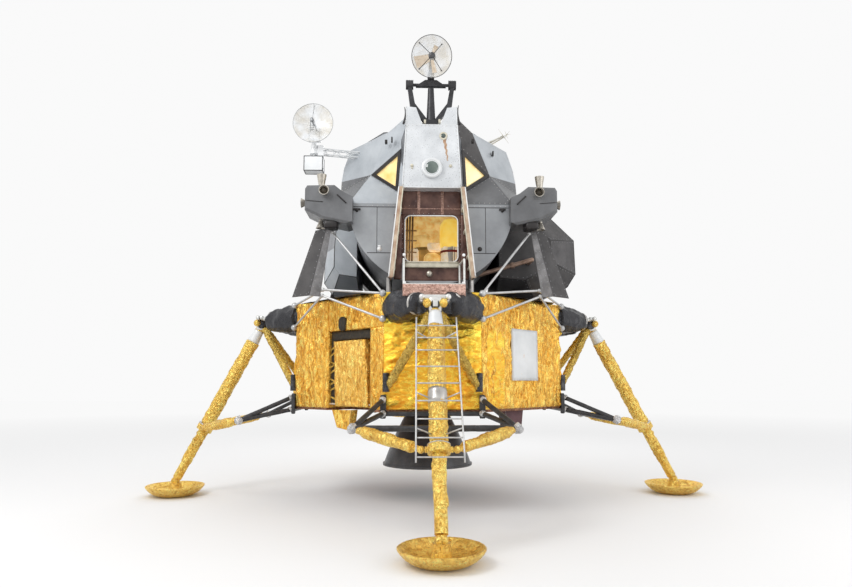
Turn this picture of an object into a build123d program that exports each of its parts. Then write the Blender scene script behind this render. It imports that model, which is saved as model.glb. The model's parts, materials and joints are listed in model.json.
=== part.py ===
"""Two-stage crewed lunar lander standing on its four landing legs.

Frame: millimetres, +Z up, -Y is the front (ladder and forward hatch), +X is to the
right of someone who faces the front.  The origin is on the ground under the centre line.
"""
from math import cos, radians, sin, sqrt
import os

from build123d import *

os.makedirs("parts", exist_ok=True)

# ---------------------------------------------------------------- driving dimensions
SEAT = 0.3  # gap between pieces that rest on each other along curved faces
PIN_CLEAR = 0.08  # radial clearance of a pin in its bore
RUN_CLEAR = 8.0  # running clearance between pieces that move past each other

# descent stage
BODY_FLATS = 4292.6  # across the leg faces
LEG_FACE = 1371.6  # width of a leg face
BODY_BOTTOM = 1500.0
BODY_TOP = 3151.0
WELL_SIDE = 1290.0  # square engine bay, open below
WELL_TOP = 2720.0
SHIELD_T = 36.0  # base heat shield
SHIELD_HOLE_R = 800.0

# descent engine
NOZZLE_EXIT_R = 749.5
NOZZLE_EXIT_Z = 500.0
NOZZLE_WALL = 22.0
THROAT_R = 112.0
THROAT_Z = 1720.0
CHAMBER_R = 205.0
CHAMBER_TOP = 2240.0
GIMBAL_Z = 1930.0
GIMBAL_IN_R = 300.0
GIMBAL_OUT_R = 375.0
GIMBAL_H = 110.0
GIMBAL_PIN_R = 34.0

# landing gear, drawn for the front leg
APEX_STAND = 713.7  # upper end of the strut, from the leg face
GEAR_REACH = 1382.0  # pad centre, from the upper end of the strut
APEX_R = BODY_FLATS / 2 + APEX_STAND
GEAR_R = APEX_R + GEAR_REACH
PAD_R = 470.0
PAD_H = 165.0
PAD_FLAT_R = 240.0
PAD_T = 30.0
BALL_R = 72.0
BALL_Z = 238.0
APEX_Z = BODY_TOP - 271.0
APEX_BALL_R = 112.0  # fitting that joins the strut to its outrigger
STRUT_R = 98.0  # primary strut, outer cylinder
PISTON_R = 74.0  # primary strut, sliding inner cylinder
STRUT_CYL_LEN = 2040.0
KNUCKLE_AT = 1985.0  # from the apex, along the strut
KNUCKLE_R = 132.0
KNUCKLE_LEN = 96.0
SEC_R = 58.0  # secondary struts
SEC_SLEEVE_R = 70.0
SEC_END_R = 25.0
SEC_EYE_R = 44.0
LUG_R = 36.0
LUG_REACH = 30.0  # the lugs stand this far off the knuckle
TRUSS_R = 33.0
TRUSS_BAR_R = 38.0
TRUSS_BALL_R = 98.0
TRUSS_OUT = (1050.0, -BODY_FLATS / 2 - 803.7, BODY_BOTTOM - 200.0)
TRUSS_IN_X = 690.0
TRUSS_STAND = 68.7  # the inner joints stand this far off the leg face
TRUSS_FOOT_W = 84.0
TRUSS_FOOT_H = 330.0
TRUSS_LOW_Z = BODY_BOTTOM - 50.0
TRUSS_HIGH_Z = BODY_BOTTOM + 140.0
OUTRIGGER_R = 46.0
COVER_BASE_R = 215.0
COVER_TIP_R = 128.0
COVER_BASE_X = 500.0
COVER_TIP_X = 205.0
COVER_LEN = 553.7
COVER_Z = BODY_TOP - 221.0
COVER_COLLAR = 14.0  # the collar stands this far out from the cover's tip
FOOT_X = 650.0  # lower ends of the outriggers, on the leg face
FOOT_Z = BODY_BOTTOM + 275.0
FOOT_CYL_R = 48.0
FOOT_CYL_LEN = 260.0

# ladder, on the front leg
RUNG_AT = (455.0, 630.0, 805.0, 1030.0, 1253.0, 1479.0, 1705.0, 1931.0, 2157.0)
BRACKET_AT = (545.0, 1370.0, 1815.0)  # stand-offs from the strut to the rails
LADDER_OFF = 215.0  # in front of the strut's axis
LADDER_HALF_TOP = 250.0
LADDER_HALF_LOW = 266.0
RAIL_R = 17.0
RUNG_R = 14.0

# egress platform
PORCH_W = 850.0
PORCH_FRONT = BODY_FLATS / 2 + 493.7
PORCH_T = 34.0
PORCH_TOP = BODY_TOP + 54.0
PORCH_BAND = 108.0
HANDRAIL_R = 15.0
HANDRAIL_Z = PORCH_TOP + 335.0

# ascent stage cabin
CABIN_R = 1240.0
CABIN_LIFT = 159.0  # between the two stages
CABIN_Z = BODY_TOP + CABIN_LIFT + CABIN_R
CABIN_FRONT = 1750.0
CREW_REAR = 680.0
MID_REAR = 690.0
BROW_FRONT = 1850.0
PANEL_HIGH = CABIN_Z + 1175.0  # top of the centre panel and of the ledge behind it
LEDGE_REAR = 1420.0
LEDGE_HALF = 395.0
CHEEK_TOP = CABIN_Z + 850.0
WALL = 60.0
CHANNEL_HALF = 455.0  # flat centre strip of the front face
FLOOR_TOP = BODY_TOP + CABIN_LIFT + 330.0
FLOOR_T = 40.0
HATCH_W = 810.0
HATCH_LOW = FLOOR_TOP + 15.0
HATCH_H = 720.0
HATCH_HIGH = HATCH_LOW + HATCH_H
HATCH_CORNER = 95.0
HATCH_LAP = 32.0
HATCH_T = 55.0
TUNNEL_R = 406.4
TUNNEL_WALL = 62.0
ROOF_Z = CABIN_Z + 1560.0
TUNNEL_TOP = ROOF_Z + 290.0
TOP_HATCH_T = 50.0
TOP_HATCH_LAP = 34.0
AFT_REAR = 1640.0

# front face corners of the right window: brow, outer and lower
WINDOW_BROW = (450.0, -1800.0, CABIN_Z + 850.0)
WINDOW_OUT = (930.0, -1425.0, CABIN_Z + 550.0)
WINDOW_LOW = (500.0, -1620.0, CABIN_Z + 220.0)
BROW_TOP = (385.0, -1720.0, CABIN_Z + 1315.0)
BROW_FOLD = (646.0, -1495.0, CABIN_Z + 1226.0)  # upper end of the fold beside the brow
SHOULDER = (1379.0, -600.0, CABIN_Z + 1223.0)
SIDE_TOP = (1450.0, -680.0, CABIN_Z + 550.0)

# thruster clusters
QUAD_X = CABIN_R + 420.0
QUAD_Y = 1680.0
QUAD_HALF = 270.0  # half the length of a housing
QUAD_Z = CABIN_Z + 10.0
BELL_R = 74.0
BELL_THROAT_R = 30.0

# plume deflectors: outer face of the folded plate in plan, at its foot and at its head
DEFLECT_T = 14.0
DEFLECT_LOW = ((1630.0, 1850.0), (1770.0, 1960.0), (2050.0, 1760.0))
DEFLECT_TOP = ((1500.0, 1745.0), (1563.0, 1794.5), (1739.4, 1668.5))
DEFLECT_LOW_Z = BODY_TOP - 26.0
DEFLECT_TOP_Z = QUAD_Z - 410.0
DEFLECT_FOOT_Z = BODY_TOP - 381.0  # lower fittings on the corners of the descent stage
CORNER_BALL_R = 50.0
ROD_R = 17.0
ROD_BALL_R = 30.0

# rendezvous radar
RADAR_Y = -1600.0
RADAR_SHAFT_Z = PANEL_HIGH + 775.0
RADAR_DISH_R = 310.0
RADAR_DISH_DEPTH = 80.0
RADAR_DISH_C = (0.0, -1950.0, RADAR_SHAFT_Z + 290.0)
RADAR_TILT = 22.0  # the dish looks this far below the horizon
RADAR_ARM_X = 345.0
RADAR_DRUM_R = 72.0
RADAR_SHAFT_R = 24.0

# steerable antenna on the left shoulder
SBAND_X = -1895.0
SBAND_Y = -900.0
SBAND_KNUCKLE_Z = CABIN_Z + 1110.0
SBAND_PIVOT_Z = SBAND_KNUCKLE_Z + 350.0
SBAND_ROOT = (-1100.0, SBAND_Y, CABIN_Z + 1050.0)
BOOM_HALF = 44.0  # half the width of the lattice boom
BOOM_CHORD_R = 9.0
BOOM_LACE_R = 5.0
BOOM_BAYS = 6
SBAND_BOX = (300.0, 200.0, 240.0)
SBAND_PIN_R = 30.0
SBAND_DISH_R = 330.0
SBAND_DISH_DEPTH = 95.0

# equipment pallet in the front left quadrant
PALLET_LEFT = -80.0  # along the quadrant face from its middle
PALLET_RIGHT = 690.0
PALLET_LOW = 1530.0
PALLET_HIGH = 2500.0
PALLET_T = 330.0
BAY_LEFT = -210.0
BAY_RIGHT = 760.0
BAY_HIGH = 2665.0
BAY_DEPTH = 460.0

LEGS = (("front", 0.0), ("right", 90.0), ("rear", 180.0), ("left", 270.0))
SIDES = (("left", -1.0), ("right", 1.0))
QUADS = (
    ("front_left", -1.0, -1.0),
    ("front_right", 1.0, -1.0),
    ("rear_left", -1.0, 1.0),
    ("rear_right", 1.0, 1.0),
)


def finish(piece, name):
    """Label a finished piece and write its file."""
    piece.part.label = name
    export_step(piece.part, f"parts/{name}.step")


def toward(start, end):
    """Plane at start that faces end."""
    return Plane(origin=start, z_dir=Vector(*end) - Vector(*start))


def span(start, end):
    """Distance between two points."""
    return (Vector(*end) - Vector(*start)).length


def between(start, end, distance):
    """Point at a distance from start on the way to end."""
    step = (Vector(*end) - Vector(*start)).normalized() * distance
    return (start[0] + step.X, start[1] + step.Y, start[2] + step.Z)


def on_each_leg(name, master):
    """Four copies of a front leg piece, one on each leg."""
    with BuildPart() as copies:
        with Locations(*[Location((0, 0, 0), (0, 0, turn)) for leg, turn in LEGS]):
            add(master.part)
    finish(copies, name)


# ---------------------------------------------------------------- descent stage body
half = BODY_FLATS / 2
face = LEG_FACE / 2
octagon = (
    (face, -half),
    (half, -face),
    (half, face),
    (face, half),
    (-face, half),
    (-half, face),
    (-half, -face),
    (-face, -half),
)
corner_mid = (half + face) / 2
bay_plane = Plane(origin=(-corner_mid, -corner_mid, 0), x_dir=(1, -1, 0), z_dir=(-1, -1, 0))

with BuildPart() as descent_stage_body:
    with BuildSketch(Plane.XY.offset(BODY_BOTTOM)):
        Polygon(*octagon, align=None)
    extrude(amount=BODY_TOP - BODY_BOTTOM)
    with BuildSketch(Plane.XY.offset(BODY_BOTTOM)):
        Rectangle(WELL_SIDE, WELL_SIDE)
    extrude(amount=WELL_TOP - BODY_BOTTOM, mode=Mode.SUBTRACT)
    with BuildSketch(bay_plane):
        with Locations(((BAY_LEFT + BAY_RIGHT) / 2, (BODY_BOTTOM + BAY_HIGH) / 2)):
            Rectangle(BAY_RIGHT - BAY_LEFT, BAY_HIGH - BODY_BOTTOM)
    extrude(amount=-BAY_DEPTH, mode=Mode.SUBTRACT)
finish(descent_stage_body, "descent_stage_body")

with BuildPart() as base_heat_shield:
    with BuildSketch(Plane.XY.offset(BODY_BOTTOM)):
        Polygon(*octagon, align=None)
        Circle(SHIELD_HOLE_R, mode=Mode.SUBTRACT)
    extrude(amount=-SHIELD_T)
    with BuildSketch(bay_plane):
        with Locations(((BAY_LEFT + BAY_RIGHT) / 2, BODY_BOTTOM)):
            Rectangle(BAY_RIGHT - BAY_LEFT, 4 * SHIELD_T)
    extrude(amount=-BAY_DEPTH, mode=Mode.SUBTRACT)
finish(base_heat_shield, "base_heat_shield")

# ---------------------------------------------------------------- descent engine
bell_len = THROAT_Z - NOZZLE_EXIT_Z
pin_out = WELL_SIDE / 2
with BuildPart() as descent_engine:
    with BuildSketch(Plane.XZ):
        with BuildLine():
            outer = Spline(
                (NOZZLE_EXIT_R, NOZZLE_EXIT_Z),
                (0.79 * NOZZLE_EXIT_R, NOZZLE_EXIT_Z + 0.33 * bell_len),
                (0.49 * NOZZLE_EXIT_R, NOZZLE_EXIT_Z + 0.70 * bell_len),
                (THROAT_R + NOZZLE_WALL, THROAT_Z),
            )
            inner = Spline(
                (NOZZLE_EXIT_R - NOZZLE_WALL, NOZZLE_EXIT_Z),
                (0.79 * NOZZLE_EXIT_R - NOZZLE_WALL, NOZZLE_EXIT_Z + 0.33 * bell_len),
                (0.49 * NOZZLE_EXIT_R - NOZZLE_WALL, NOZZLE_EXIT_Z + 0.70 * bell_len),
                (THROAT_R, THROAT_Z),
            )
            Line(outer @ 0, inner @ 0)
            Line(outer @ 1, inner @ 1)
        make_face()
    revolve(axis=Axis.Z)
    with BuildSketch(Plane.XZ):
        with BuildLine():
            Polyline(
                (0, THROAT_Z),
                (THROAT_R + NOZZLE_WALL, THROAT_Z),
                (CHAMBER_R, THROAT_Z + 130),
                (CHAMBER_R, CHAMBER_TOP - 60),
                (CHAMBER_R - 60, CHAMBER_TOP),
                (0, CHAMBER_TOP),
                close=True,
            )
        make_face()
    revolve(axis=Axis.Z)
    with BuildSketch(Plane.XY.offset(NOZZLE_EXIT_Z)):
        Circle(NOZZLE_EXIT_R + 9)
        Circle(NOZZLE_EXIT_R - NOZZLE_WALL, mode=Mode.SUBTRACT)
    extrude(amount=34)
    for facing in (-1, 1):
        with BuildSketch(Plane(origin=(0, 0, GIMBAL_Z), x_dir=(1, 0, 0), z_dir=(0, facing, 0))):
            Circle(GIMBAL_PIN_R)
        extrude(amount=GIMBAL_OUT_R - 8)
finish(descent_engine, "descent_engine")

with BuildPart() as engine_gimbal_ring:
    with BuildSketch(Plane.XY.offset(GIMBAL_Z - GIMBAL_H / 2)):
        Circle(GIMBAL_OUT_R)
        Circle(GIMBAL_IN_R, mode=Mode.SUBTRACT)
    extrude(amount=GIMBAL_H)
    with BuildSketch(Plane(origin=(0, 0, GIMBAL_Z), x_dir=(1, 0, 0), z_dir=(0, 1, 0))):
        Circle(GIMBAL_PIN_R + PIN_CLEAR)
    extrude(amount=GIMBAL_OUT_R + 20, both=True, mode=Mode.SUBTRACT)
    with Locations((-(pin_out - 70 + GIMBAL_OUT_R - 30) / 2, 0, GIMBAL_Z)):
        Cylinder(GIMBAL_PIN_R, pin_out - 70 - GIMBAL_OUT_R + 30, rotation=(0, 90, 0))
    with Locations(((pin_out - 70 + GIMBAL_OUT_R - 30) / 2, 0, GIMBAL_Z)):
        Cylinder(GIMBAL_PIN_R, pin_out - 70 - GIMBAL_OUT_R + 30, rotation=(0, 90, 0))
finish(engine_gimbal_ring, "engine_gimbal_ring")

# brackets on the walls of the engine bay, bored for the ring's pins
BRACKET_REACH = 150.0
BRACKET_PLATE = (220.0, 260.0, 40.0)
BRACKET_R = 80.0
with BuildPart() as engine_mount:
    for facing in (-1, 1):
        wall = Plane(origin=(facing * pin_out, 0, GIMBAL_Z), x_dir=(0, 1, 0), z_dir=(-facing, 0, 0))
        with BuildSketch(wall):
            Rectangle(BRACKET_PLATE[0], BRACKET_PLATE[1])
        extrude(amount=BRACKET_PLATE[2])
        with BuildSketch(wall):
            Circle(BRACKET_R)
        extrude(amount=BRACKET_REACH)
    with Locations((0, 0, GIMBAL_Z)):
        Cylinder(GIMBAL_PIN_R + PIN_CLEAR, 2 * (pin_out - 62), rotation=(0, 90, 0), mode=Mode.SUBTRACT)
finish(engine_mount, "engine_mount")

# ---------------------------------------------------------------- equipment pallet
PALLET_FACE = 8.0  # the pallet's front stands this far inside the quadrant face
PALLET_PIN_R = 14.0
PALLET_PIN_IN = 30.0  # the hinge rod runs this far inside the pallet's lower front edge
pallet_face = bay_plane.offset(-PALLET_FACE)
pin_local = Vector(BAY_LEFT, PALLET_LOW + PALLET_PIN_IN, -PALLET_FACE - PALLET_PIN_IN)
pin_start = bay_plane.from_local_coords(pin_local)
pallet_pin_plane = Plane(origin=pin_start, x_dir=(0, 0, 1), z_dir=bay_plane.x_dir)
with BuildPart() as equipment_pallet:
    with BuildSketch(pallet_face):
        with BuildLine():
            Polyline(
                (PALLET_LEFT + 45, PALLET_LOW),
                (PALLET_RIGHT, PALLET_LOW),
                (PALLET_RIGHT - 80, PALLET_HIGH),
                (PALLET_LEFT, PALLET_HIGH),
                close=True,
            )
        make_face()
    extrude(amount=-PALLET_T)
    fillet(equipment_pallet.edges().filter_by(Axis((0, 0, 0), bay_plane.z_dir)), 18)
    with BuildSketch(pallet_pin_plane):
        Circle(PALLET_PIN_R + PIN_CLEAR)
    extrude(amount=BAY_RIGHT - BAY_LEFT, mode=Mode.SUBTRACT)
finish(equipment_pallet, "equipment_pallet")

with BuildPart() as pallet_hinge_rod:
    with BuildSketch(pallet_pin_plane):
        Circle(PALLET_PIN_R)
    extrude(amount=BAY_RIGHT - BAY_LEFT)
finish(pallet_hinge_rod, "pallet_hinge_rod")

# ---------------------------------------------------------------- landing gear
apex = (0.0, -APEX_R, APEX_Z)
ball = (0.0, -GEAR_R, BALL_Z)
strut_len = span(apex, ball)
strut_plane = toward(apex, ball)
socket_floor = BALL_Z - BALL_R - SEAT
lip = 24.0
lip_r = sqrt((BALL_R + SEAT) ** 2 - lip**2)
mid_r = (BALL_R + SEAT) * sin(radians(40))
mid_z = BALL_Z - (BALL_R + SEAT) * cos(radians(40))

with BuildPart() as footpad_master:
    with BuildSketch(Plane.XZ.offset(GEAR_R)):
        with BuildLine():
            Line((0, 0), (PAD_FLAT_R, 0))
            rim_out = Spline(
                (PAD_FLAT_R, 0),
                (0.80 * PAD_R, 0.34 * PAD_H),
                (PAD_R - 4, PAD_H - 18),
            )
            Line((PAD_R - 4, PAD_H - 18), (PAD_R, PAD_H))
            Line((PAD_R, PAD_H), (PAD_R - PAD_T, PAD_H))
            rim_in = Spline(
                (PAD_R - PAD_T, PAD_H),
                (0.80 * PAD_R - PAD_T, 0.34 * PAD_H + PAD_T),
                (PAD_FLAT_R - 20, PAD_T + 10),
            )
            Line((PAD_FLAT_R - 20, PAD_T + 10), (112, PAD_T + 22))
            Line((112, PAD_T + 22), (96, BALL_Z - lip))
            Line((96, BALL_Z - lip), (lip_r, BALL_Z - lip))
            ThreePointArc((lip_r, BALL_Z - lip), (mid_r, mid_z), (0, socket_floor))
            Line((0, socket_floor), (0, 0))
        make_face()
    revolve(axis=Axis((0, -GEAR_R, 0), (0, 0, 1)))

knuckle = between(apex, ball, KNUCKLE_AT)
with BuildPart() as strut_master:
    with BuildSketch(strut_plane.offset(60)):
        Circle(STRUT_R - 30)
    with BuildSketch(strut_plane.offset(330)):
        Circle(STRUT_R)
    loft()
    with BuildSketch(strut_plane.offset(330)):
        Circle(STRUT_R)
    extrude(amount=STRUT_CYL_LEN - 330)
    with BuildSketch(strut_plane.offset(STRUT_CYL_LEN)):
        Circle(PISTON_R)
    extrude(amount=strut_len - STRUT_CYL_LEN - 0.8 * BALL_R)
    with BuildSketch(strut_plane.offset(KNUCKLE_AT - KNUCKLE_LEN / 2)):
        Circle(KNUCKLE_R)
    extrude(amount=KNUCKLE_LEN)
    with Locations(ball):
        Sphere(BALL_R)
    with Locations(knuckle):
        Cylinder(LUG_R, 2 * (KNUCKLE_R + LUG_REACH), rotation=(0, 90, 0))
    with Locations(apex):
        Sphere(APEX_BALL_R + SEAT, mode=Mode.SUBTRACT)

with BuildPart() as secondary_master:
    for side, sign in SIDES:
        eye = (sign * (KNUCKLE_R + LUG_REACH + SEAT + SEC_EYE_R), knuckle[1], knuckle[2])
        outer_end = (sign * TRUSS_OUT[0], TRUSS_OUT[1], TRUSS_OUT[2])
        run = span(eye, outer_end) - TRUSS_BALL_R - SEAT
        with Locations(eye):
            Sphere(SEC_EYE_R)
        for start, stop, radius in (
            (0, 130, SEC_END_R + 10),
            (120, run - 150, SEC_R),
            (0.42 * run, run - 190, SEC_SLEEVE_R),
            (run - 155, run, SEC_END_R),
        ):
            with BuildSketch(toward(eye, outer_end).offset(start)):
                Circle(radius)
            extrude(amount=stop - start)

with BuildPart() as truss_master:
    for side, sign in SIDES:
        node = (sign * TRUSS_OUT[0], TRUSS_OUT[1], TRUSS_OUT[2])
        low = (sign * TRUSS_IN_X, -half - TRUSS_STAND, TRUSS_LOW_Z)
        high = (sign * TRUSS_IN_X, -half - TRUSS_STAND, TRUSS_HIGH_Z)
        with Locations(node):
            Sphere(TRUSS_BALL_R)
        for target in (low, high):
            start = between(node, target, TRUSS_BALL_R + SEAT)
            with BuildSketch(toward(start, target)):
                Circle(TRUSS_R)
            extrude(amount=span(start, target) - TRUSS_FOOT_W / 2)
        foot_y = -half - (TRUSS_STAND - 12) / 2
        with Locations((sign * TRUSS_IN_X, foot_y, (TRUSS_LOW_Z + TRUSS_HIGH_Z) / 2)):
            Box(TRUSS_FOOT_W, TRUSS_STAND - 12, TRUSS_FOOT_H)
    bar_start = (-TRUSS_OUT[0] + TRUSS_BALL_R + SEAT, TRUSS_OUT[1], TRUSS_OUT[2])
    with BuildSketch(Plane(origin=bar_start, x_dir=(0, 1, 0), z_dir=(1, 0, 0))):
        Circle(TRUSS_BAR_R)
    extrude(amount=-2 * bar_start[0])
    inner_bar = (-TRUSS_IN_X + TRUSS_FOOT_W / 2 + SEAT, -(half + 40), TRUSS_LOW_Z)
    with BuildSketch(Plane(origin=inner_bar, x_dir=(0, 1, 0), z_dir=(1, 0, 0))):
        Circle(TRUSS_R)
    extrude(amount=-2 * inner_bar[0])

cover_base = (COVER_BASE_X, -half, COVER_Z)
cover_tip = (COVER_TIP_X, -half - COVER_LEN, COVER_Z - 5)
with BuildPart() as outrigger_master:
    with Locations(apex):
        Sphere(APEX_BALL_R)
    for side, sign in SIDES:
        foot = (sign * FOOT_X, -half, FOOT_Z)
        top_start = (sign * cover_base[0], cover_base[1], cover_base[2])
        top_end = (sign * cover_tip[0], cover_tip[1], cover_tip[2])
        start = between(apex, foot, APEX_BALL_R + SEAT)
        with BuildSketch(toward(start, foot)):
            Circle(OUTRIGGER_R)
        extrude(amount=span(start, foot) - OUTRIGGER_R)
        with BuildSketch(Plane(origin=top_start, x_dir=(1, 0, 0), z_dir=(0, -1, 0))):
            Circle(COVER_BASE_R)
        with BuildSketch(Plane(origin=top_end, x_dir=(1, 0, 0), z_dir=(0, -1, 0))):
            Circle(COVER_TIP_R)
        loft()
        with BuildSketch(Plane(origin=top_end, x_dir=(1, 0, 0), z_dir=(0, 1, 0))):
            Circle(COVER_TIP_R + COVER_COLLAR)
        extrude(amount=34)
        with Locations((foot[0], foot[1] - FOOT_CYL_R, foot[2] + 0.4 * FOOT_CYL_LEN)):
            Cylinder(FOOT_CYL_R, FOOT_CYL_LEN)
    with BuildSketch(Plane.XY.offset(BODY_BOTTOM)):
        Polygon(*octagon, align=None)
    extrude(amount=BODY_TOP - BODY_BOTTOM, mode=Mode.SUBTRACT)

on_each_leg("footpads", footpad_master)
on_each_leg("primary_struts", strut_master)
on_each_leg("secondary_struts", secondary_master)
on_each_leg("deployment_trusses", truss_master)
on_each_leg("outriggers", outrigger_master)

# ---------------------------------------------------------------- ladder
lean = (Vector(*ball) - Vector(*apex)).normalized()
front_of = Vector(0, lean.Z, -lean.Y)
if front_of.Y > 0:
    front_of = front_of * -1


def on_ladder(side, at):
    """Point on a ladder rail: side -1 or 1, at a distance below the apex."""
    share = (at - RUNG_AT[0]) / (RUNG_AT[-1] - RUNG_AT[0])
    x = side * (LADDER_HALF_TOP + share * (LADDER_HALF_LOW - LADDER_HALF_TOP))
    centre = Vector(*apex) + lean * at + front_of * LADDER_OFF
    return (x, centre.Y, centre.Z)


with BuildPart() as ladder:
    for side in (-1, 1):
        head = on_ladder(side, RUNG_AT[0] - 120)
        tail = on_ladder(side, RUNG_AT[-1] + 60)
        with BuildSketch(toward(head, tail)):
            Circle(RAIL_R)
        extrude(amount=span(head, tail))
    for at in RUNG_AT:
        port = on_ladder(-1, at)
        board = on_ladder(1, at)
        start = between(port, board, RAIL_R + SEAT)
        with BuildSketch(toward(start, board)):
            Circle(RUNG_R)
        extrude(amount=span(port, board) - 2 * (RAIL_R + SEAT))
    for at in BRACKET_AT:
        for side in (-1, 1):
            rail = on_ladder(side, at)
            centre = Vector(*apex) + lean * at
            seat = (side * 40.0, centre.Y, centre.Z)
            start = between(rail, seat, RAIL_R + SEAT)
            with BuildSketch(toward(start, seat)):
                Circle(RUNG_R)
            extrude(amount=span(start, seat))
    with BuildSketch(strut_plane):
        Circle(STRUT_R + SEAT)
    extrude(amount=STRUT_CYL_LEN, mode=Mode.SUBTRACT)
finish(ladder, "ladder")

# ---------------------------------------------------------------- egress platform
porch_back = CABIN_FRONT + 12
with BuildPart() as egress_platform:
    with BuildSketch(Plane.XY.offset(PORCH_TOP - PORCH_T)):
        with Locations((0, -(PORCH_FRONT + porch_back) / 2)):
            Rectangle(PORCH_W, PORCH_FRONT - porch_back)
    extrude(amount=PORCH_T)
    with BuildSketch(Plane.XY.offset(PORCH_TOP - PORCH_BAND)):
        with Locations((0, -(PORCH_FRONT - 16))):
            Rectangle(PORCH_W, 32)
    extrude(amount=PORCH_BAND - PORCH_T / 2)
    with BuildSketch(Plane.XY.offset(PORCH_TOP - 50)):
        with Locations((0, -(half + 60))):
            Rectangle(PORCH_W - 60, 60)
    extrude(amount=PORCH_T)
    for side in (-1, 1):
        x = side * (PORCH_W / 2 - HANDRAIL_R)
        front_foot = (x, -(PORCH_FRONT - 40), PORCH_TOP - 5)
        front_top = (x, -(PORCH_FRONT - 40), HANDRAIL_Z)
        rear_top = (x, -(porch_back + 90), HANDRAIL_Z + 70)
        rear_foot = (x, -(porch_back + 90), PORCH_TOP - 5)
        for start, end in ((front_foot, front_top), (front_top, rear_top), (rear_foot, rear_top)):
            with BuildSketch(toward(start, end)):
                Circle(HANDRAIL_R)
            extrude(amount=span(start, end))
        with Locations(front_top, rear_top):
            Sphere(HANDRAIL_R)
    with BuildSketch(Plane.XY.offset(BODY_TOP)):
        with Locations((-250, -half + 70), (250, -half + 70)):
            Rectangle(60, 90)
    extrude(amount=PORCH_TOP - PORCH_T - BODY_TOP)
finish(egress_platform, "egress_platform")

# ---------------------------------------------------------------- cabin form
cabin_profile = (
    (CABIN_R, CABIN_Z),
    (SIDE_TOP[0], CABIN_Z + 250),
    (SIDE_TOP[0], CABIN_Z + 650),
    (SHOULDER[0], SHOULDER[2]),
    (BROW_FOLD[0], BROW_FOLD[2]),
    (LEDGE_HALF, CABIN_Z + 1375),
)
mid_profile = (
    (CABIN_R, CABIN_Z),
    (CABIN_R + 90, CABIN_Z + 210),
    (CABIN_R + 90, CABIN_Z + 800),
    (CABIN_R - 110, CABIN_Z + 1300),
    (CABIN_R - 480, ROOF_Z - 20),
    (430, ROOF_Z),
)


def face_plane(a, b, c, hint):
    """Plane through three points whose normal has a positive part along hint."""
    normal = (Vector(*b) - Vector(*a)).cross(Vector(*c) - Vector(*a)).normalized()
    if normal.dot(Vector(*hint)) < 0:
        normal = normal * -1
    return Plane(origin=a, z_dir=normal)


def mirrored(point, side):
    """Point on the left (-1) or right (1) side."""
    return (side * point[0], point[1], point[2])


def half_profile(points):
    """Closed outline from its right half, mirrored to the left."""
    return [*points, *[(-x, z) for x, z in reversed(points)]]


def window_plane(side):
    """Plane of a window, facing forward, outward and down."""
    corners = [mirrored(point, side) for point in (WINDOW_BROW, WINDOW_OUT, WINDOW_LOW)]
    return face_plane(*corners, (side, -1, -1))


def window_outline(side):
    """Corners of a window in its own plane."""
    corners = [mirrored(point, side) for point in (WINDOW_BROW, WINDOW_OUT, WINDOW_LOW)]
    return [tuple(window_plane(side).to_local_coords(Vector(*point)))[:2] for point in corners]


def brow_cuts(side):
    """Planes of the brow, the shoulder behind it and the window below it."""
    out = mirrored(WINDOW_OUT, side)
    top = mirrored(BROW_TOP, side)
    hint = (side, -1, 1)
    brow = face_plane(mirrored(WINDOW_BROW, side), out, top, hint)
    shoulder = face_plane(out, mirrored(BROW_FOLD, side), mirrored(SHOULDER, side), hint)
    return (brow, shoulder, window_plane(side))


def cheek_cuts(side):
    """Planes of the cheek beside the window and the sill below it."""
    low = mirrored(WINDOW_LOW, side)
    seam_end = (side * CABIN_R, -CABIN_FRONT, CABIN_Z)
    cheek = face_plane(mirrored(WINDOW_OUT, side), seam_end, mirrored(SIDE_TOP, side), (side, -1, 1))
    sill = face_plane((0, -CABIN_FRONT, CABIN_Z), (side * 500, -CABIN_FRONT, CABIN_Z), low, (0, -1, 1))
    return (cheek, sill)


def crew_block(inset, rear, cuts, low, high):
    """Slice of the crew compartment between two heights, with its facets cut."""
    with BuildPart() as block:
        with BuildSketch(Plane.XZ.offset(rear)):
            with Locations((0, CABIN_Z)):
                Circle(CABIN_R)
            Polygon(*half_profile(cabin_profile), align=None)
            if inset:
                offset(amount=-inset)
        extrude(amount=BROW_FRONT - inset - rear)
        for cut in cuts:
            split(bisect_by=cut.offset(-inset), keep=Keep.BOTTOM)
        split(bisect_by=Plane.XY.offset(low), keep=Keep.TOP)
        split(bisect_by=Plane.XY.offset(high), keep=Keep.BOTTOM)
    return block


def crew_form(inset, rear):
    """Faceted crew compartment, moved inward by an inset, from its front to a rear plane."""
    face_cut = (Plane.XZ.offset(CABIN_FRONT),)
    keel = crew_block(inset, rear, face_cut, CABIN_Z - 2 * CABIN_R, CABIN_Z)
    brow = crew_block(inset, rear, (*brow_cuts(-1), *brow_cuts(1)), CABIN_Z, 2 * CABIN_Z)
    cheeks = crew_block(inset, rear, (*cheek_cuts(-1), *cheek_cuts(1)), CABIN_Z, CHEEK_TOP)
    with BuildPart() as form:
        add(keel.part)
        add(brow.part)
        add(cheeks.part)
        with Locations((0, -(CABIN_FRONT - inset), CABIN_Z)):
            Box(
                2 * CHANNEL_HALF,
                600,
                3000,
                align=(Align.CENTER, Align.MAX, Align.CENTER),
                mode=Mode.SUBTRACT,
            )
        with Locations((0, -(LEDGE_REAR - inset), PANEL_HIGH - inset)):
            Box(
                2 * (LEDGE_HALF + inset),
                900,
                900,
                align=(Align.CENTER, Align.MAX, Align.MIN),
                mode=Mode.SUBTRACT,
            )
    return form


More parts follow.
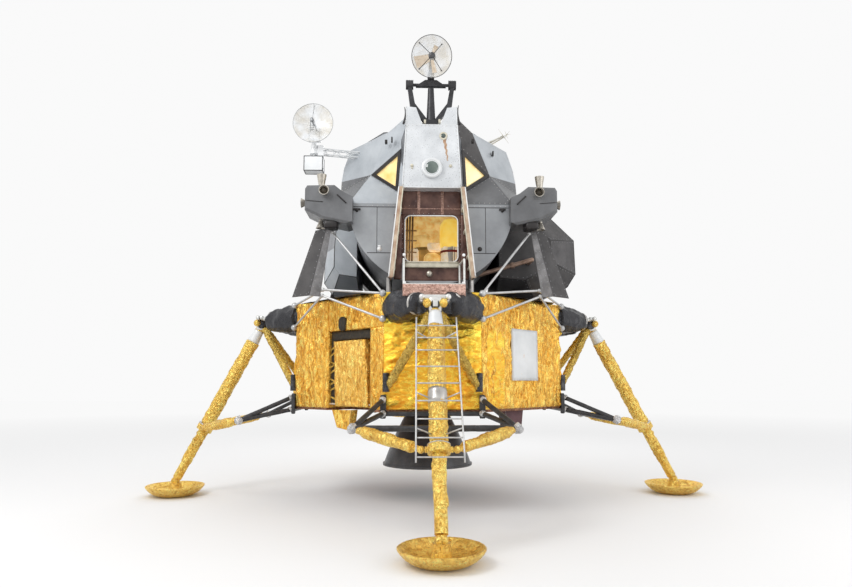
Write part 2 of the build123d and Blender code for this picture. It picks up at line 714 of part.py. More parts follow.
def barrel(profile, inset, rear, front):
    """Round keel with a faceted top, moved inward by an inset, between two planes across Y."""
    with BuildPart() as form:
        with BuildSketch(Plane.XZ.offset(-rear)):
            with Locations((0, CABIN_Z)):
                Circle(CABIN_R)
            Polygon(*half_profile(profile), align=None)
            if inset:
                offset(amount=-inset)
        extrude(amount=rear + front)
    return form


crew_outer = crew_form(0, CREW_REAR)
crew_inner = crew_form(WALL, CREW_REAR + WALL)
mid_outer = barrel(mid_profile, 0, MID_REAR, CREW_REAR)
mid_inner = barrel(mid_profile, WALL, MID_REAR - WALL, CREW_REAR - WALL)
mid_bore = barrel(mid_profile, WALL, -CREW_REAR + WALL + 20, CREW_REAR + WALL + 20)
crew_bore = barrel(cabin_profile, WALL, -CREW_REAR + WALL + 20, CREW_REAR + WALL + 20)
with BuildPart() as passage:
    add(mid_bore.part)
    add(crew_bore.part, mode=Mode.INTERSECT)
GLAZE_IN = 52.0  # from the window's corners to the clear opening
GLASS_T = 14.0
GLASS_DEEP = 12.0  # behind the outer skin
FRAME_T = 16.0
FRAME_IN = 6.0

with BuildPart() as crew_compartment:
    add(crew_outer.part)
    add(crew_inner.part, mode=Mode.SUBTRACT)
    add(passage.part, mode=Mode.SUBTRACT)
    for side in (-1, 1):
        with BuildSketch(window_plane(side)):
            Polygon(*window_outline(side), align=None)
            offset(amount=-GLAZE_IN)
        extrude(amount=140, both=True, mode=Mode.SUBTRACT)
    with BuildSketch(Plane.XZ.offset(CABIN_FRONT)):
        with Locations((0, (HATCH_LOW + HATCH_HIGH) / 2)):
            RectangleRounded(HATCH_W, HATCH_HIGH - HATCH_LOW, HATCH_CORNER)
    extrude(amount=120, both=True, mode=Mode.SUBTRACT)
finish(crew_compartment, "crew_compartment")

with BuildPart() as midsection:
    add(mid_outer.part)
    add(mid_inner.part, mode=Mode.SUBTRACT)
    add(passage.part, mode=Mode.SUBTRACT)
    with BuildSketch(Plane.XY.offset(ROOF_Z)):
        Circle(TUNNEL_R)
    extrude(amount=240, both=True, mode=Mode.SUBTRACT)
finish(midsection, "midsection")

with BuildPart() as window_frames:
    for side in (-1, 1):
        with BuildSketch(window_plane(side)):
            Polygon(*window_outline(side), align=None)
            offset(amount=-FRAME_IN)
        extrude(amount=FRAME_T)
    for side in (-1, 1):
        with BuildSketch(window_plane(side)):
            Polygon(*window_outline(side), align=None)
            offset(amount=-GLAZE_IN)
        extrude(amount=FRAME_T, mode=Mode.SUBTRACT)
finish(window_frames, "window_frames")

with BuildPart() as window_glass:
    for side in (-1, 1):
        with BuildSketch(window_plane(side).offset(-GLASS_DEEP)):
            Polygon(*window_outline(side), align=None)
            offset(amount=-GLAZE_IN - SEAT)
        extrude(amount=-GLASS_T)
finish(window_glass, "window_glass")

# ---------------------------------------------------------------- front of the cabin
PANEL_LOW = CABIN_Z + 195.0
PANEL_FRONT = CABIN_FRONT + 185.0
RAIL_FRONT = CABIN_FRONT + 240.0
RECESS_LOW = FLOOR_TOP - 250.0
SILL_H = 70.0
SILL_DROP = 5.0
SILL_OUT = 50.0
RAIL_TOP_X = 447.0
RAIL_LOW_X = 590.0
RAIL_T = 28.0
with BuildPart() as front_panel:
    with BuildSketch(Plane.XZ.offset(CABIN_FRONT)):
        Polygon((-440, PANEL_LOW), (440, PANEL_LOW), (385, PANEL_HIGH), (-385, PANEL_HIGH), align=None)
    extrude(amount=PANEL_FRONT - CABIN_FRONT)
    for side in (-1, 1):
        with BuildSketch(Plane.XZ.offset(CABIN_FRONT)):
            Polygon(
                (side * 385, PANEL_HIGH),
                (side * 130, PANEL_HIGH),
                (side * 235, PANEL_HIGH + 290),
                (side * 385, PANEL_HIGH + 305),
                align=None,
            )
        extrude(amount=120)
    fillet(front_panel.edges().filter_by(Axis.X).group_by(Axis.Y)[0], 14)
finish(front_panel, "front_panel")

with BuildPart() as recess_frame:
    for side in (-1, 1):
        with BuildSketch(Plane.XZ.offset(CABIN_FRONT)):
            Polygon(
                (side * RAIL_TOP_X, PANEL_LOW - 1),
                (side * (RAIL_TOP_X + RAIL_T), PANEL_LOW - 1),
                (side * (RAIL_LOW_X + RAIL_T), RECESS_LOW),
                (side * RAIL_LOW_X, RECESS_LOW),
                align=None,
            )
        extrude(amount=RAIL_FRONT - CABIN_FRONT)
        with BuildSketch(Plane.XZ.offset(RAIL_FRONT)):
            Polygon(
                (side * (RAIL_TOP_X - 20), PANEL_LOW - 1),
                (side * (RAIL_TOP_X + RAIL_T + 14), PANEL_LOW - 1),
                (side * (RAIL_LOW_X + RAIL_T + 22), RECESS_LOW),
                (side * (RAIL_LOW_X - 24), RECESS_LOW),
                align=None,
            )
        extrude(amount=16)
    with BuildSketch(Plane.XZ.offset(CABIN_FRONT)):
        with Locations((0, HATCH_LOW - SILL_DROP - SILL_H / 2)):
            Rectangle(HATCH_W, SILL_H)
    extrude(amount=SILL_OUT)
finish(recess_frame, "recess_frame")

# ---------------------------------------------------------------- hatches
HINGE_X = HATCH_W / 2 + 46
HINGE_Y = CABIN_FRONT - WALL - RUN_CLEAR - HATCH_T / 2
HINGE_PIN_R = 11.0
HINGE_HALF = 42.0
hatch_mid = (HATCH_LOW + HATCH_HIGH) / 2
hatch_tall = HATCH_HIGH - HATCH_LOW + 2 * HATCH_LAP - 24
hinge_heights = (hatch_mid - 230, hatch_mid + 230)
with BuildPart() as forward_hatch:
    with BuildSketch(Plane(origin=(-HINGE_X - HATCH_T / 2, 0, 0), x_dir=(0, 1, 0), z_dir=(1, 0, 0))):
        with Locations((-HINGE_Y + 30 + (HATCH_W + 2 * HATCH_LAP) / 2, hatch_mid + 12)):
            RectangleRounded(HATCH_W + 2 * HATCH_LAP, hatch_tall, HATCH_CORNER)
    extrude(amount=HATCH_T)
    for z in hinge_heights:
        with Locations((-HINGE_X, -HINGE_Y, z)):
            Cylinder(HATCH_T / 2, 2 * HINGE_HALF - 38)
        with Locations((-HINGE_X, -HINGE_Y + 30, z)):
            Box(HATCH_T * 0.7, 60, 2 * HINGE_HALF - 38)
    for z in hinge_heights:
        with Locations((-HINGE_X, -HINGE_Y, z)):
            Cylinder(HINGE_PIN_R + PIN_CLEAR, 3 * HINGE_HALF, mode=Mode.SUBTRACT)
finish(forward_hatch, "forward_hatch")

with BuildPart() as forward_hatch_hinges:
    for z in hinge_heights:
        with Locations((-HINGE_X, -HINGE_Y, z)):
            Cylinder(HINGE_PIN_R, 2 * HINGE_HALF)
        for end in (-1, 1):
            with Locations((-HINGE_X, -HINGE_Y, z + end * (HINGE_HALF - 7))):
                Cylinder(HATCH_T / 2 - 6, 14)
            with Locations((-HINGE_X - 8, -(HINGE_Y + CABIN_FRONT - WALL) / 2, z + end * (HINGE_HALF - 7))):
                Box(28, CABIN_FRONT - WALL - HINGE_Y, 14)
finish(forward_hatch_hinges, "forward_hatch_hinges")

# ---------------------------------------------------------------- docking tunnel
with BuildPart() as docking_tunnel:
    with BuildSketch(Plane.XY.offset(ROOF_Z)):
        Circle(TUNNEL_R + TUNNEL_WALL)
        Circle(TUNNEL_R, mode=Mode.SUBTRACT)
    extrude(amount=TUNNEL_TOP - ROOF_Z)
    with BuildSketch(Plane.XY.offset(TUNNEL_TOP - 36)):
        Circle(TUNNEL_R + TUNNEL_WALL + 24)
        Circle(TUNNEL_R, mode=Mode.SUBTRACT)
    extrude(amount=36)
finish(docking_tunnel, "docking_tunnel")

TOP_HATCH_Z = ROOF_Z - WALL - RUN_CLEAR
TOP_HINGE_Y = TUNNEL_R + 70
with BuildPart() as overhead_hatch:
    with BuildSketch(Plane.XY.offset(TOP_HATCH_Z)):
        Circle(TUNNEL_R + TOP_HATCH_LAP)
    extrude(amount=-TOP_HATCH_T)
    with Locations((0, 0, TOP_HATCH_Z - TOP_HATCH_T)):
        Cylinder(60, 40, align=(Align.CENTER, Align.CENTER, Align.MAX))
    with Locations((0, TOP_HINGE_Y - 40, TOP_HATCH_Z - TOP_HATCH_T / 2)):
        Box(110, 80, TOP_HATCH_T)
    with Locations((0, TOP_HINGE_Y, TOP_HATCH_Z - TOP_HATCH_T / 2)):
        Cylinder(TOP_HATCH_T / 2, 110, rotation=(0, 90, 0))
        Cylinder(HINGE_PIN_R + PIN_CLEAR, 200, rotation=(0, 90, 0), mode=Mode.SUBTRACT)
finish(overhead_hatch, "overhead_hatch")

with BuildPart() as overhead_hatch_hinge:
    with Locations((0, TOP_HINGE_Y, TOP_HATCH_Z - TOP_HATCH_T / 2)):
        Cylinder(HINGE_PIN_R, 160, rotation=(0, 90, 0))
    for end in (-1, 1):
        with Locations((end * 73, TOP_HINGE_Y, TOP_HATCH_Z - TOP_HATCH_T / 2)):
            Cylinder(TOP_HATCH_T / 2, 16, rotation=(0, 90, 0))
        with Locations((end * 73, TOP_HINGE_Y, TOP_HATCH_Z - TOP_HATCH_T / 2)):
            Box(16, 30, RUN_CLEAR + TOP_HATCH_T / 2, align=(Align.CENTER, Align.CENTER, Align.MIN))
finish(overhead_hatch_hinge, "overhead_hatch_hinge")

# ---------------------------------------------------------------- inside the cabin
floor_half = sqrt((CABIN_R - WALL) ** 2 - (CABIN_Z - FLOOR_TOP + FLOOR_T) ** 2) - SEAT
with BuildPart() as cabin_floor:
    with BuildSketch(Plane.XY.offset(FLOOR_TOP - FLOOR_T)):
        with Locations((0, -(CABIN_FRONT - MID_REAR) / 2)):
            Rectangle(2 * floor_half, CABIN_FRONT + MID_REAR - 2 * WALL - 2 * SEAT)
    extrude(amount=FLOOR_T)
finish(cabin_floor, "cabin_floor")

with BuildPart() as ascent_engine_cover:
    with BuildSketch(Plane.XY.offset(FLOOR_TOP)):
        Circle(410)
    extrude(amount=560)
    chamfer(ascent_engine_cover.edges().group_by(Axis.Z)[-1], 60)
finish(ascent_engine_cover, "ascent_engine_cover")

with BuildPart() as instrument_panel:
    with Locations((0, -(CABIN_FRONT - WALL), CABIN_Z + 10)):
        Box(300, 190, 640, align=(Align.CENTER, Align.MIN, Align.MIN))
    with BuildSketch(Plane.XY.offset(CABIN_Z + 410)):
        Polygon(
            *[(x, y - CABIN_FRONT) for x, y in half_profile(((400, 270), (400, 190), (60, 90)))],
            align=None,
        )
    extrude(amount=330)
finish(instrument_panel, "instrument_panel")

with BuildPart() as side_consoles:
    for side in (-1, 1):
        with BuildSketch(Plane.XZ.offset(CREW_REAR + WALL)):
            Polygon(
                (side * 800, FLOOR_TOP + 620),
                (side * 1500, FLOOR_TOP + 620),
                (side * 1500, FLOOR_TOP + 1050),
                (side * 880, FLOOR_TOP + 980),
                align=None,
            )
        extrude(amount=560)
    add(crew_inner.part, mode=Mode.INTERSECT)
finish(side_consoles, "side_consoles")

with BuildPart() as oxygen_pack:
    with Locations((345, -865, FLOOR_TOP)):
        Cylinder(150, 760, align=(Align.CENTER, Align.CENTER, Align.MIN))
    fillet(oxygen_pack.edges().filter_by(GeomType.CIRCLE), 24)
finish(oxygen_pack, "oxygen_pack")

# ---------------------------------------------------------------- aft bay and tanks
aft_profile = (
    (CABIN_R - 340, CABIN_Z - 1130),
    (CABIN_R, CABIN_Z - 750),
    (CABIN_R, CABIN_Z + 700),
    (CABIN_R - 260, CABIN_Z + 1150),
    (0, CABIN_Z + 1210),
)
with BuildPart() as aft_equipment_bay:
    with BuildSketch(Plane.XZ.offset(-MID_REAR)):
        Polygon(
            *half_profile(aft_profile),
            align=None,
        )
    extrude(amount=-(AFT_REAR - MID_REAR))
    chamfer(aft_equipment_bay.edges().group_by(Axis.Y)[-1], 90)
finish(aft_equipment_bay, "aft_equipment_bay")

# outlines of the tank housings: outward from the keel's radius, above the cabin's axis
TANK_ROOT = -60.0
TANK_ROOT_LOW = -1220.0
TANKS = (
    ("right", 1, 430, ((940, 250), (1360, -160), (1375, -760), (1230, -990), (660, -1260))),
    ("left", -1, 410, ((240, 270), (517, 60), (550, -420), (555, -950), (410, -1150))),
)
TANK_HEART = CABIN_Z - 400.0  # the ends of a housing shrink towards this height
TANK_SHARE = 0.62
TANK_Y = (-500.0, -50.0, 550.0, 980.0)  # small front end, full section, small rear end
for side, sign, root_high, bulge in TANKS:
    corners = ((TANK_ROOT, root_high), *bulge, (TANK_ROOT, TANK_ROOT_LOW))
    outline = [(sign * (CABIN_R + out), CABIN_Z + up) for out, up in corners]
    heart_x = sign * CABIN_R
    small = [
        (heart_x + TANK_SHARE * (x - heart_x), TANK_HEART + TANK_SHARE * (z - TANK_HEART)) for x, z in outline
    ]
    with BuildPart() as tank_housing:
        with BuildSketch(Plane.XZ.offset(-TANK_Y[0])):
            Polygon(*small, align=None)
        with BuildSketch(Plane.XZ.offset(-TANK_Y[1])):
            Polygon(*outline, align=None)
        loft(ruled=True)
        with BuildSketch(Plane.XZ.offset(-TANK_Y[1])):
            Polygon(*outline, align=None)
        extrude(amount=TANK_Y[1] - TANK_Y[2])
        with BuildSketch(Plane.XZ.offset(-TANK_Y[2])):
            Polygon(*outline, align=None)
        with BuildSketch(Plane.XZ.offset(-TANK_Y[3])):
            Polygon(*small, align=None)
        loft(ruled=True)
        add(mid_outer.part, mode=Mode.SUBTRACT)
        add(crew_outer.part, mode=Mode.SUBTRACT)
        add(aft_equipment_bay.part, mode=Mode.SUBTRACT)
    finish(tank_housing, f"tank_housing_{side}")
    if side == "right":
        right_tank = tank_housing

# bent tube from the keel to the front of the right tank housing
TUBE_R = 36.0
TUBE_CLAMP_R = 52.0
tube_foot = (CABIN_R - 484.0, -800.0, CABIN_Z - 932.0)
tube_bend = (CABIN_R + 460.0, -800.0, CABIN_Z - 653.0)
tube_head = (tube_bend[0], -400.0, tube_bend[2])
with BuildPart() as side_tube:
    for start, end in ((tube_foot, tube_bend), (tube_bend, tube_head)):
        with BuildSketch(toward(start, end)):
            Circle(TUBE_R)
        extrude(amount=span(start, end))
    with Locations(tube_bend):
        Sphere(TUBE_R)
    clamp_at = between(tube_foot, tube_bend, 0.62 * span(tube_foot, tube_bend))
    with BuildSketch(toward(clamp_at, tube_bend)):
        Circle(TUBE_CLAMP_R)
    extrude(amount=60)
    add(crew_outer.part, mode=Mode.SUBTRACT)
    add(right_tank.part, mode=Mode.SUBTRACT)
finish(side_tube, "side_tube")

# posts between the two stages
POST_X = 640.0
with BuildPart() as interstage_fittings:
    for y in (-1240.0, 1180.0):
        for x in (-POST_X, POST_X):
            with Locations((x, y, BODY_TOP)):
                Cylinder(46, 700, align=(Align.CENTER, Align.CENTER, Align.MIN))
                Cylinder(95, 40, align=(Align.CENTER, Align.CENTER, Align.MIN))
    with Locations((0, 0, CABIN_Z)):
        Cylinder(CABIN_R + SEAT, 2 * MID_REAR + 3000, rotation=(90, 0, 0), mode=Mode.SUBTRACT)
    add(aft_equipment_bay.part, mode=Mode.SUBTRACT)
    split(bisect_by=Plane.XY.offset(CABIN_Z), keep=Keep.BOTTOM)
finish(interstage_fittings, "interstage_fittings")

# ---------------------------------------------------------------- thruster clusters
quad_outline = (
    (QUAD_X + 210, QUAD_Z + 160),
    (QUAD_X + 180, QUAD_Z + 210),
    (QUAD_X - 220, QUAD_Z + 220),
    (QUAD_X - 370, QUAD_Z + 100),
    (CABIN_R - 70, QUAD_Z + 40),
    (CABIN_R - 70, QUAD_Z - 330),
    (CABIN_R + 20, QUAD_Z - 360),
    (QUAD_X - 60, QUAD_Z - 290),
    (QUAD_X + 210, QUAD_Z - 160),
)
with BuildPart() as rcs_housings:
    for name, sx, sy in QUADS:
        with BuildSketch(Plane.XZ.offset(-sy * QUAD_Y - QUAD_HALF)):
            Polygon(*[(sx * x, z) for x, z in quad_outline], align=None)
        extrude(amount=2 * QUAD_HALF)
    chamfer(
        rcs_housings.edges().filter_by(
            lambda edge: abs(edge.center().X) > CABIN_R + 60
            and abs(abs(edge.center().Y) - QUAD_Y - QUAD_HALF) < 1
        ),
        34,
    )
    add(crew_outer.part, mode=Mode.SUBTRACT)
    add(mid_outer.part, mode=Mode.SUBTRACT)
    add(aft_equipment_bay.part, mode=Mode.SUBTRACT)
    add(interstage_fittings.part, mode=Mode.SUBTRACT)
finish(rcs_housings, "rcs_housings")

THRUSTER_FACING = (
    ("up", (0, 0, 1), (QUAD_X, QUAD_Y, QUAD_Z + 195), 255.0),
    ("down", (0, 0, -1), (QUAD_X, QUAD_Y, QUAD_Z - 270), 110.0),
    ("out", (1, 0, 0), (QUAD_X + 210, QUAD_Y, QUAD_Z + 10), 90.0),
    ("ahead", (0, 1, 0), (QUAD_X - 80, QUAD_Y + QUAD_HALF, QUAD_Z + 110), 90.0),
)
with BuildPart() as rcs_thrusters:
    for name, sx, sy in QUADS:
        for facing, way, spot, reach in THRUSTER_FACING:
            mouth = Vector(sx * way[0], sy * way[1], way[2])
            seat = Vector(sx * spot[0], sy * spot[1], spot[2])
            with BuildSketch(Plane(origin=seat, z_dir=mouth)):
                Circle(BELL_THROAT_R)
            with BuildSketch(Plane(origin=seat + mouth * reach, z_dir=mouth)):
                Circle(BELL_R)
            loft()
            with BuildSketch(Plane(origin=seat + mouth * reach, z_dir=mouth)):
                Circle(BELL_R - 9)
            extrude(amount=-0.45 * reach, taper=20, mode=Mode.SUBTRACT)
    for name, sx, sy in QUADS:
        with Locations((sx * QUAD_X, sy * QUAD_Y, QUAD_Z - 270)):
            Cylinder(BELL_THROAT_R, 60, align=(Align.CENTER, Align.CENTER, Align.MIN))
    add(rcs_housings.part, mode=Mode.SUBTRACT)
finish(rcs_thrusters, "rcs_thrusters")

# ---------------------------------------------------------------- plume deflectors
def folded(points):
    """Outline of a bent plate: its outer face, then its inner face one thickness in."""
    first, bend, last = [Vector(*point) for point in points]
    one = (bend - first).normalized()
    two = (last - bend).normalized()
    in_one = Vector(-one.Y, one.X) * -1
    in_two = Vector(-two.Y, two.X) * -1
    mitre = (in_one + in_two) * (DEFLECT_T / (1 + in_one.dot(in_two)))
    inner = (last + in_two * DEFLECT_T, bend + mitre, first + in_one * DEFLECT_T)
    return [(point.X, point.Y) for point in (first, bend, last, *inner)]


def edge_ball(height):
    """Centre of a ball on the free front edge of the deflector, at a height above its foot."""
    share = height / (DEFLECT_TOP_Z - DEFLECT_LOW_Z)
    low = Vector(*DEFLECT_LOW[0], DEFLECT_LOW_Z)
    top = Vector(*DEFLECT_TOP[0], DEFLECT_TOP_Z)
    edge = (top - low).normalized()
    along = Vector(*DEFLECT_LOW[1]) - Vector(*DEFLECT_LOW[0])
    outward = (edge * along.dot(edge) - along).normalized()
    return low + (top - low) * share + outward * (ROD_BALL_R + SEAT)


with BuildPart() as plume_deflectors:
    for name, sx, sy in QUADS:
        for z, bend in ((DEFLECT_LOW_Z, DEFLECT_LOW), (DEFLECT_TOP_Z, DEFLECT_TOP)):
            with BuildSketch(Plane.XY.offset(z)):
                Polygon(*[(sx * x, sy * y) for x, y in folded(bend)], align=None)
        loft(ruled=True)
finish(plume_deflectors, "plume_deflectors")

# balls on the deflector's edge and on the corners of the descent stage, with rods between them
corner_out = Vector(sin(radians(22.5)), cos(radians(22.5))) * (CORNER_BALL_R + SEAT)
front_top = Vector(face, half, BODY_TOP - 20) + corner_out
front_low = Vector(face, half, DEFLECT_FOOT_Z) + corner_out
side_top = Vector(front_top.Y, front_top.X, front_top.Z)
side_low = Vector(front_low.Y, front_low.X, front_low.Z)
corner_fittings = (front_top, front_low, side_top, side_low)
edge_balls = (edge_ball(DEFLECT_TOP_Z - DEFLECT_LOW_Z - 34), edge_ball(110), edge_ball(22))
deflector_rods = (
    (edge_balls[0], front_top),
    (edge_balls[1], front_top),
    (edge_balls[2], front_low),
    (edge_balls[1], side_top),
    (edge_balls[2], side_low),
)
with BuildPart() as deflector_struts:
    for name, sx, sy in QUADS:
        with Locations(*[(sx * at.X, sy * at.Y, at.Z) for at in edge_balls]):
            Sphere(ROD_BALL_R)
        with Locations(*[(sx * at.X, sy * at.Y, at.Z) for at in corner_fittings]):
            Sphere(CORNER_BALL_R)
        for head, foot in deflector_rods:
            start = (sx * head.X, sy * head.Y, head.Z)
            end = (sx * foot.X, sy * foot.Y, foot.Z)
            with BuildSketch(toward(start, end).offset(ROD_BALL_R + SEAT)):
                Circle(ROD_R)
            extrude(amount=span(start, end) - ROD_BALL_R - CORNER_BALL_R - 2 * SEAT)
finish(deflector_struts, "deflector_struts")

# ---------------------------------------------------------------- rendezvous radar
radar_axis = (0.0, RADAR_Y, RADAR_SHAFT_Z)
RADAR_SEAT_Z = PANEL_HIGH
with BuildPart() as radar_mount:
    with Locations((0, RADAR_Y, RADAR_SEAT_Z + 90)):
        Box(200, 170, 180)
    with BuildSketch(Plane.XY.offset(RADAR_SEAT_Z + 170)):
        with Locations((0, RADAR_Y)):
            Circle(72)
    with BuildSketch(Plane.XY.offset(RADAR_SHAFT_Z - 60)):
        with Locations((0, RADAR_Y)):
            Circle(46)
    loft()
    for side in (-1, 1):
        with BuildSketch(Plane.XZ.offset(-RADAR_Y - 45)):
            Polygon(
                (side * 20, RADAR_SEAT_Z + 150),
                (side * 100, RADAR_SEAT_Z + 150),
                (side * (RADAR_ARM_X - 20), RADAR_SEAT_Z + 420),
                (side * (RADAR_ARM_X + 20), RADAR_SHAFT_Z - 40),
                (side * (RADAR_ARM_X - 45), RADAR_SHAFT_Z - 40),
                (side * (RADAR_ARM_X - 95), RADAR_SEAT_Z + 460),
                align=None,
            )
        extrude(amount=90)
        with Locations((side * (RADAR_ARM_X - 12), RADAR_Y, RADAR_SHAFT_Z)):
            Cylinder(RADAR_DRUM_R, 116, rotation=(0, 90, 0))
    with Locations(radar_axis):
        Cylinder(RADAR_SHAFT_R + PIN_CLEAR, 2 * RADAR_ARM_X + 60, rotation=(0, 90, 0), mode=Mode.SUBTRACT)
finish(radar_mount, "radar_mount")

TRUNNION_R = 26.0
with BuildPart() as radar_yoke:
    with Locations(radar_axis):
        Cylinder(RADAR_SHAFT_R, 2 * RADAR_ARM_X + 40, rotation=(0, 90, 0))
    with BuildSketch(Plane.XZ.offset(-RADAR_Y)):
        Polygon(
            (-235, RADAR_SHAFT_Z - 30),
            (235, RADAR_SHAFT_Z - 30),
            (90, RADAR_SHAFT_Z + 70),
            (-90, RADAR_SHAFT_Z + 70),
            align=None,
        )
    extrude(amount=38, both=True)
    with Locations((0, RADAR_Y, RADAR_SHAFT_Z + 70)):
        Cylinder(TRUNNION_R, 90, align=(Align.CENTER, Align.CENTER, Align.MIN))
finish(radar_yoke, "radar_yoke")

dish_c = Vector(*RADAR_DISH_C)
dish_way = Vector(0, -cos(radians(RADAR_TILT)), -sin(radians(RADAR_TILT)))
dish_plane = Plane(origin=dish_c, x_dir=(1, 0, 0), z_dir=dish_way)
SKIN = 7.0


def bowl(plane, radius, depth):
    """Thin parabolic dish whose rim lies in the plane and opens along its normal."""
    flat = Plane(origin=plane.origin, x_dir=plane.x_dir, z_dir=-plane.y_dir)
    with BuildPart() as dish:
        with BuildSketch(flat):
            with BuildLine():
                front = Bezier((0, -depth), (radius / 2, -depth), (radius, 0))
                back = Bezier((0, -depth - SKIN), (radius / 2, -depth - SKIN), (radius + SKIN, 0))
                Line(front @ 0, back @ 0)
                Line(front @ 1, back @ 1)
            make_face()
        revolve(axis=Axis(plane.origin, plane.z_dir))
    return dish


radar_bowl = bowl(dish_plane, RADAR_DISH_R - SKIN, RADAR_DISH_DEPTH)
neck_top = dish_c - dish_way * (RADAR_DISH_DEPTH + 60)
with BuildPart() as radar_dish:
    add(radar_bowl.part)
    with BuildSketch(dish_plane.offset(-RADAR_DISH_DEPTH - 70)):
        Circle(66)
    extrude(amount=70)
    with Locations((0, RADAR_Y, RADAR_SHAFT_Z + 80)):
        Cylinder(54, 110, align=(Align.CENTER, Align.CENTER, Align.MIN))
    start = (0.0, RADAR_Y, RADAR_SHAFT_Z + 165)
    end = (0.0, neck_top.Y, neck_top.Z)
    with BuildSketch(toward(start, end)):
        Circle(40)
    extrude(amount=span(start, end))
    with Locations((0, RADAR_Y, RADAR_SHAFT_Z + 60)):
        Cylinder(
            TRUNNION_R + PIN_CLEAR,
            100 + RUN_CLEAR,
            align=(Align.CENTER, Align.CENTER, Align.MIN),
            mode=Mode.SUBTRACT,
        )
    focus = dish_c + dish_way * 150
    for quarter in (45, 135, 225, 315):
        across = 0.72 * RADAR_DISH_R * cos(radians(quarter))
        rise = 0.72 * RADAR_DISH_R * sin(radians(quarter))
        foot = dish_plane.from_local_coords(Vector(across, rise, -0.48 * RADAR_DISH_DEPTH))
        with BuildSketch(toward(tuple(foot), tuple(focus))):
            Circle(6)
        extrude(amount=(focus - foot).length)
    with BuildSketch(dish_plane.offset(120)):
        Circle(38)
    extrude(amount=50)
finish(radar_dish, "radar_dish")

# ---------------------------------------------------------------- steerable antenna
with BuildPart() as sband_boom:
    tip = (SBAND_X + 150, SBAND_Y, SBAND_KNUCKLE_Z)
    boom_axis = toward(SBAND_ROOT, tip)
    bay = span(SBAND_ROOT, tip) / BOOM_BAYS
    for a, b in ((-1, -1), (1, -1), (1, 1), (-1, 1)):
        with BuildSketch(boom_axis):
            with Locations((a * BOOM_HALF, b * BOOM_HALF)):
                Circle(BOOM_CHORD_R)
        extrude(amount=span(SBAND_ROOT, tip))
    for step in range(BOOM_BAYS):
        near, far = (step * bay, (step + 1) * bay)
        for b in (-1, 1):
            turn = b if step % 2 else -b
            for lace in (
                ((-turn * BOOM_HALF, b * BOOM_HALF, near), (turn * BOOM_HALF, b * BOOM_HALF, far)),
                ((b * BOOM_HALF, -turn * BOOM_HALF, near), (b * BOOM_HALF, turn * BOOM_HALF, far)),
            ):
                ends = [tuple(boom_axis.from_local_coords(Vector(*end))) for end in lace]
                with BuildSketch(toward(*ends)):
                    Circle(BOOM_LACE_R)
                extrude(amount=span(*ends))
    with Locations((SBAND_X + 110, SBAND_Y, SBAND_KNUCKLE_Z)):
        Box(90, 120, 190)
    with Locations((SBAND_X + 70, SBAND_Y, SBAND_KNUCKLE_Z)):
        Box(60, 100, 80)
    with Locations((SBAND_X, SBAND_Y, SBAND_KNUCKLE_Z)):
        Cylinder(SBAND_PIN_R + 42, 90)
        Cylinder(SBAND_PIN_R + PIN_CLEAR, 200, mode=Mode.SUBTRACT)
    add(crew_outer.part, mode=Mode.SUBTRACT)
finish(sband_boom, "sband_boom")

with BuildPart() as sband_gimbal:
    with Locations((SBAND_X, SBAND_Y, SBAND_KNUCKLE_Z)):
        Cylinder(SBAND_PIN_R, 340)
    with Locations((SBAND_X, SBAND_Y, SBAND_KNUCKLE_Z - 225)):
        Box(*SBAND_BOX)
    with Locations((SBAND_X, SBAND_Y, SBAND_KNUCKLE_Z + 45 + RUN_CLEAR)):
        Cylinder(58, 60, align=(Align.CENTER, Align.CENTER, Align.MIN))
        Box(76, 84, 150, align=(Align.CENTER, Align.CENTER, Align.MIN))
    for end in (-1, 1):
        with Locations((SBAND_X + end * 85, SBAND_Y, SBAND_KNUCKLE_Z + 180)):
            Box(26, 80, SBAND_PIVOT_Z - SBAND_KNUCKLE_Z - 140, align=(Align.CENTER, Align.CENTER, Align.MIN))
    with Locations((SBAND_X, SBAND_Y, SBAND_KNUCKLE_Z + 190)):
        Box(196, 80, 30)
    with Locations((SBAND_X, SBAND_Y, SBAND_PIVOT_Z)):
        Cylinder(14 + PIN_CLEAR, 400, rotation=(0, 90, 0), mode=Mode.SUBTRACT)
finish(sband_gimbal, "sband_gimbal")

sband_plane = Plane(origin=(SBAND_X, SBAND_Y - 215, SBAND_PIVOT_Z + 60), x_dir=(1, 0, 0), z_dir=(0, -1, 0))
sband_bowl = bowl(sband_plane, SBAND_DISH_R - SKIN, SBAND_DISH_DEPTH)
with BuildPart() as sband_dish:
    add(sband_bowl.part)
    with Locations((SBAND_X, SBAND_Y, SBAND_PIVOT_Z)):
        Cylinder(14, 220, rotation=(0, 90, 0))
        Box(110, 70, 90)
    with Locations((SBAND_X, SBAND_Y - 75, SBAND_PIVOT_Z + 30)):
        Box(90, 90, 90)
    with Locations((SBAND_X, SBAND_Y - 215, SBAND_PIVOT_Z + 60)):
        Cylinder(16, 190, rotation=(90, 0, 0))
        with Locations((0, -95, 0)):
            Cylinder(40, 50, rotation=(90, 0, 0))
finish(sband_dish, "sband_dish")

# ---------------------------------------------------------------- small antennas and light
with BuildPart() as vhf_antenna:
    foot = (CABIN_R - 120.0, 200.0, CABIN_Z + 1280.0)
    elbow = (CABIN_R - 90.0, 200.0, CABIN_Z + 1750.0)
    tip = (CABIN_R + 200.0, 200.0, CABIN_Z + 1870.0)
    for start, end in ((foot, elbow), (elbow, tip)):
        with BuildSketch(toward(start, end)):
            Circle(14)
        extrude(amount=span(start, end))
    with Locations(elbow):
        Sphere(20)
    add(mid_outer.part, mode=Mode.SUBTRACT)
finish(vhf_antenna, "vhf_antenna")

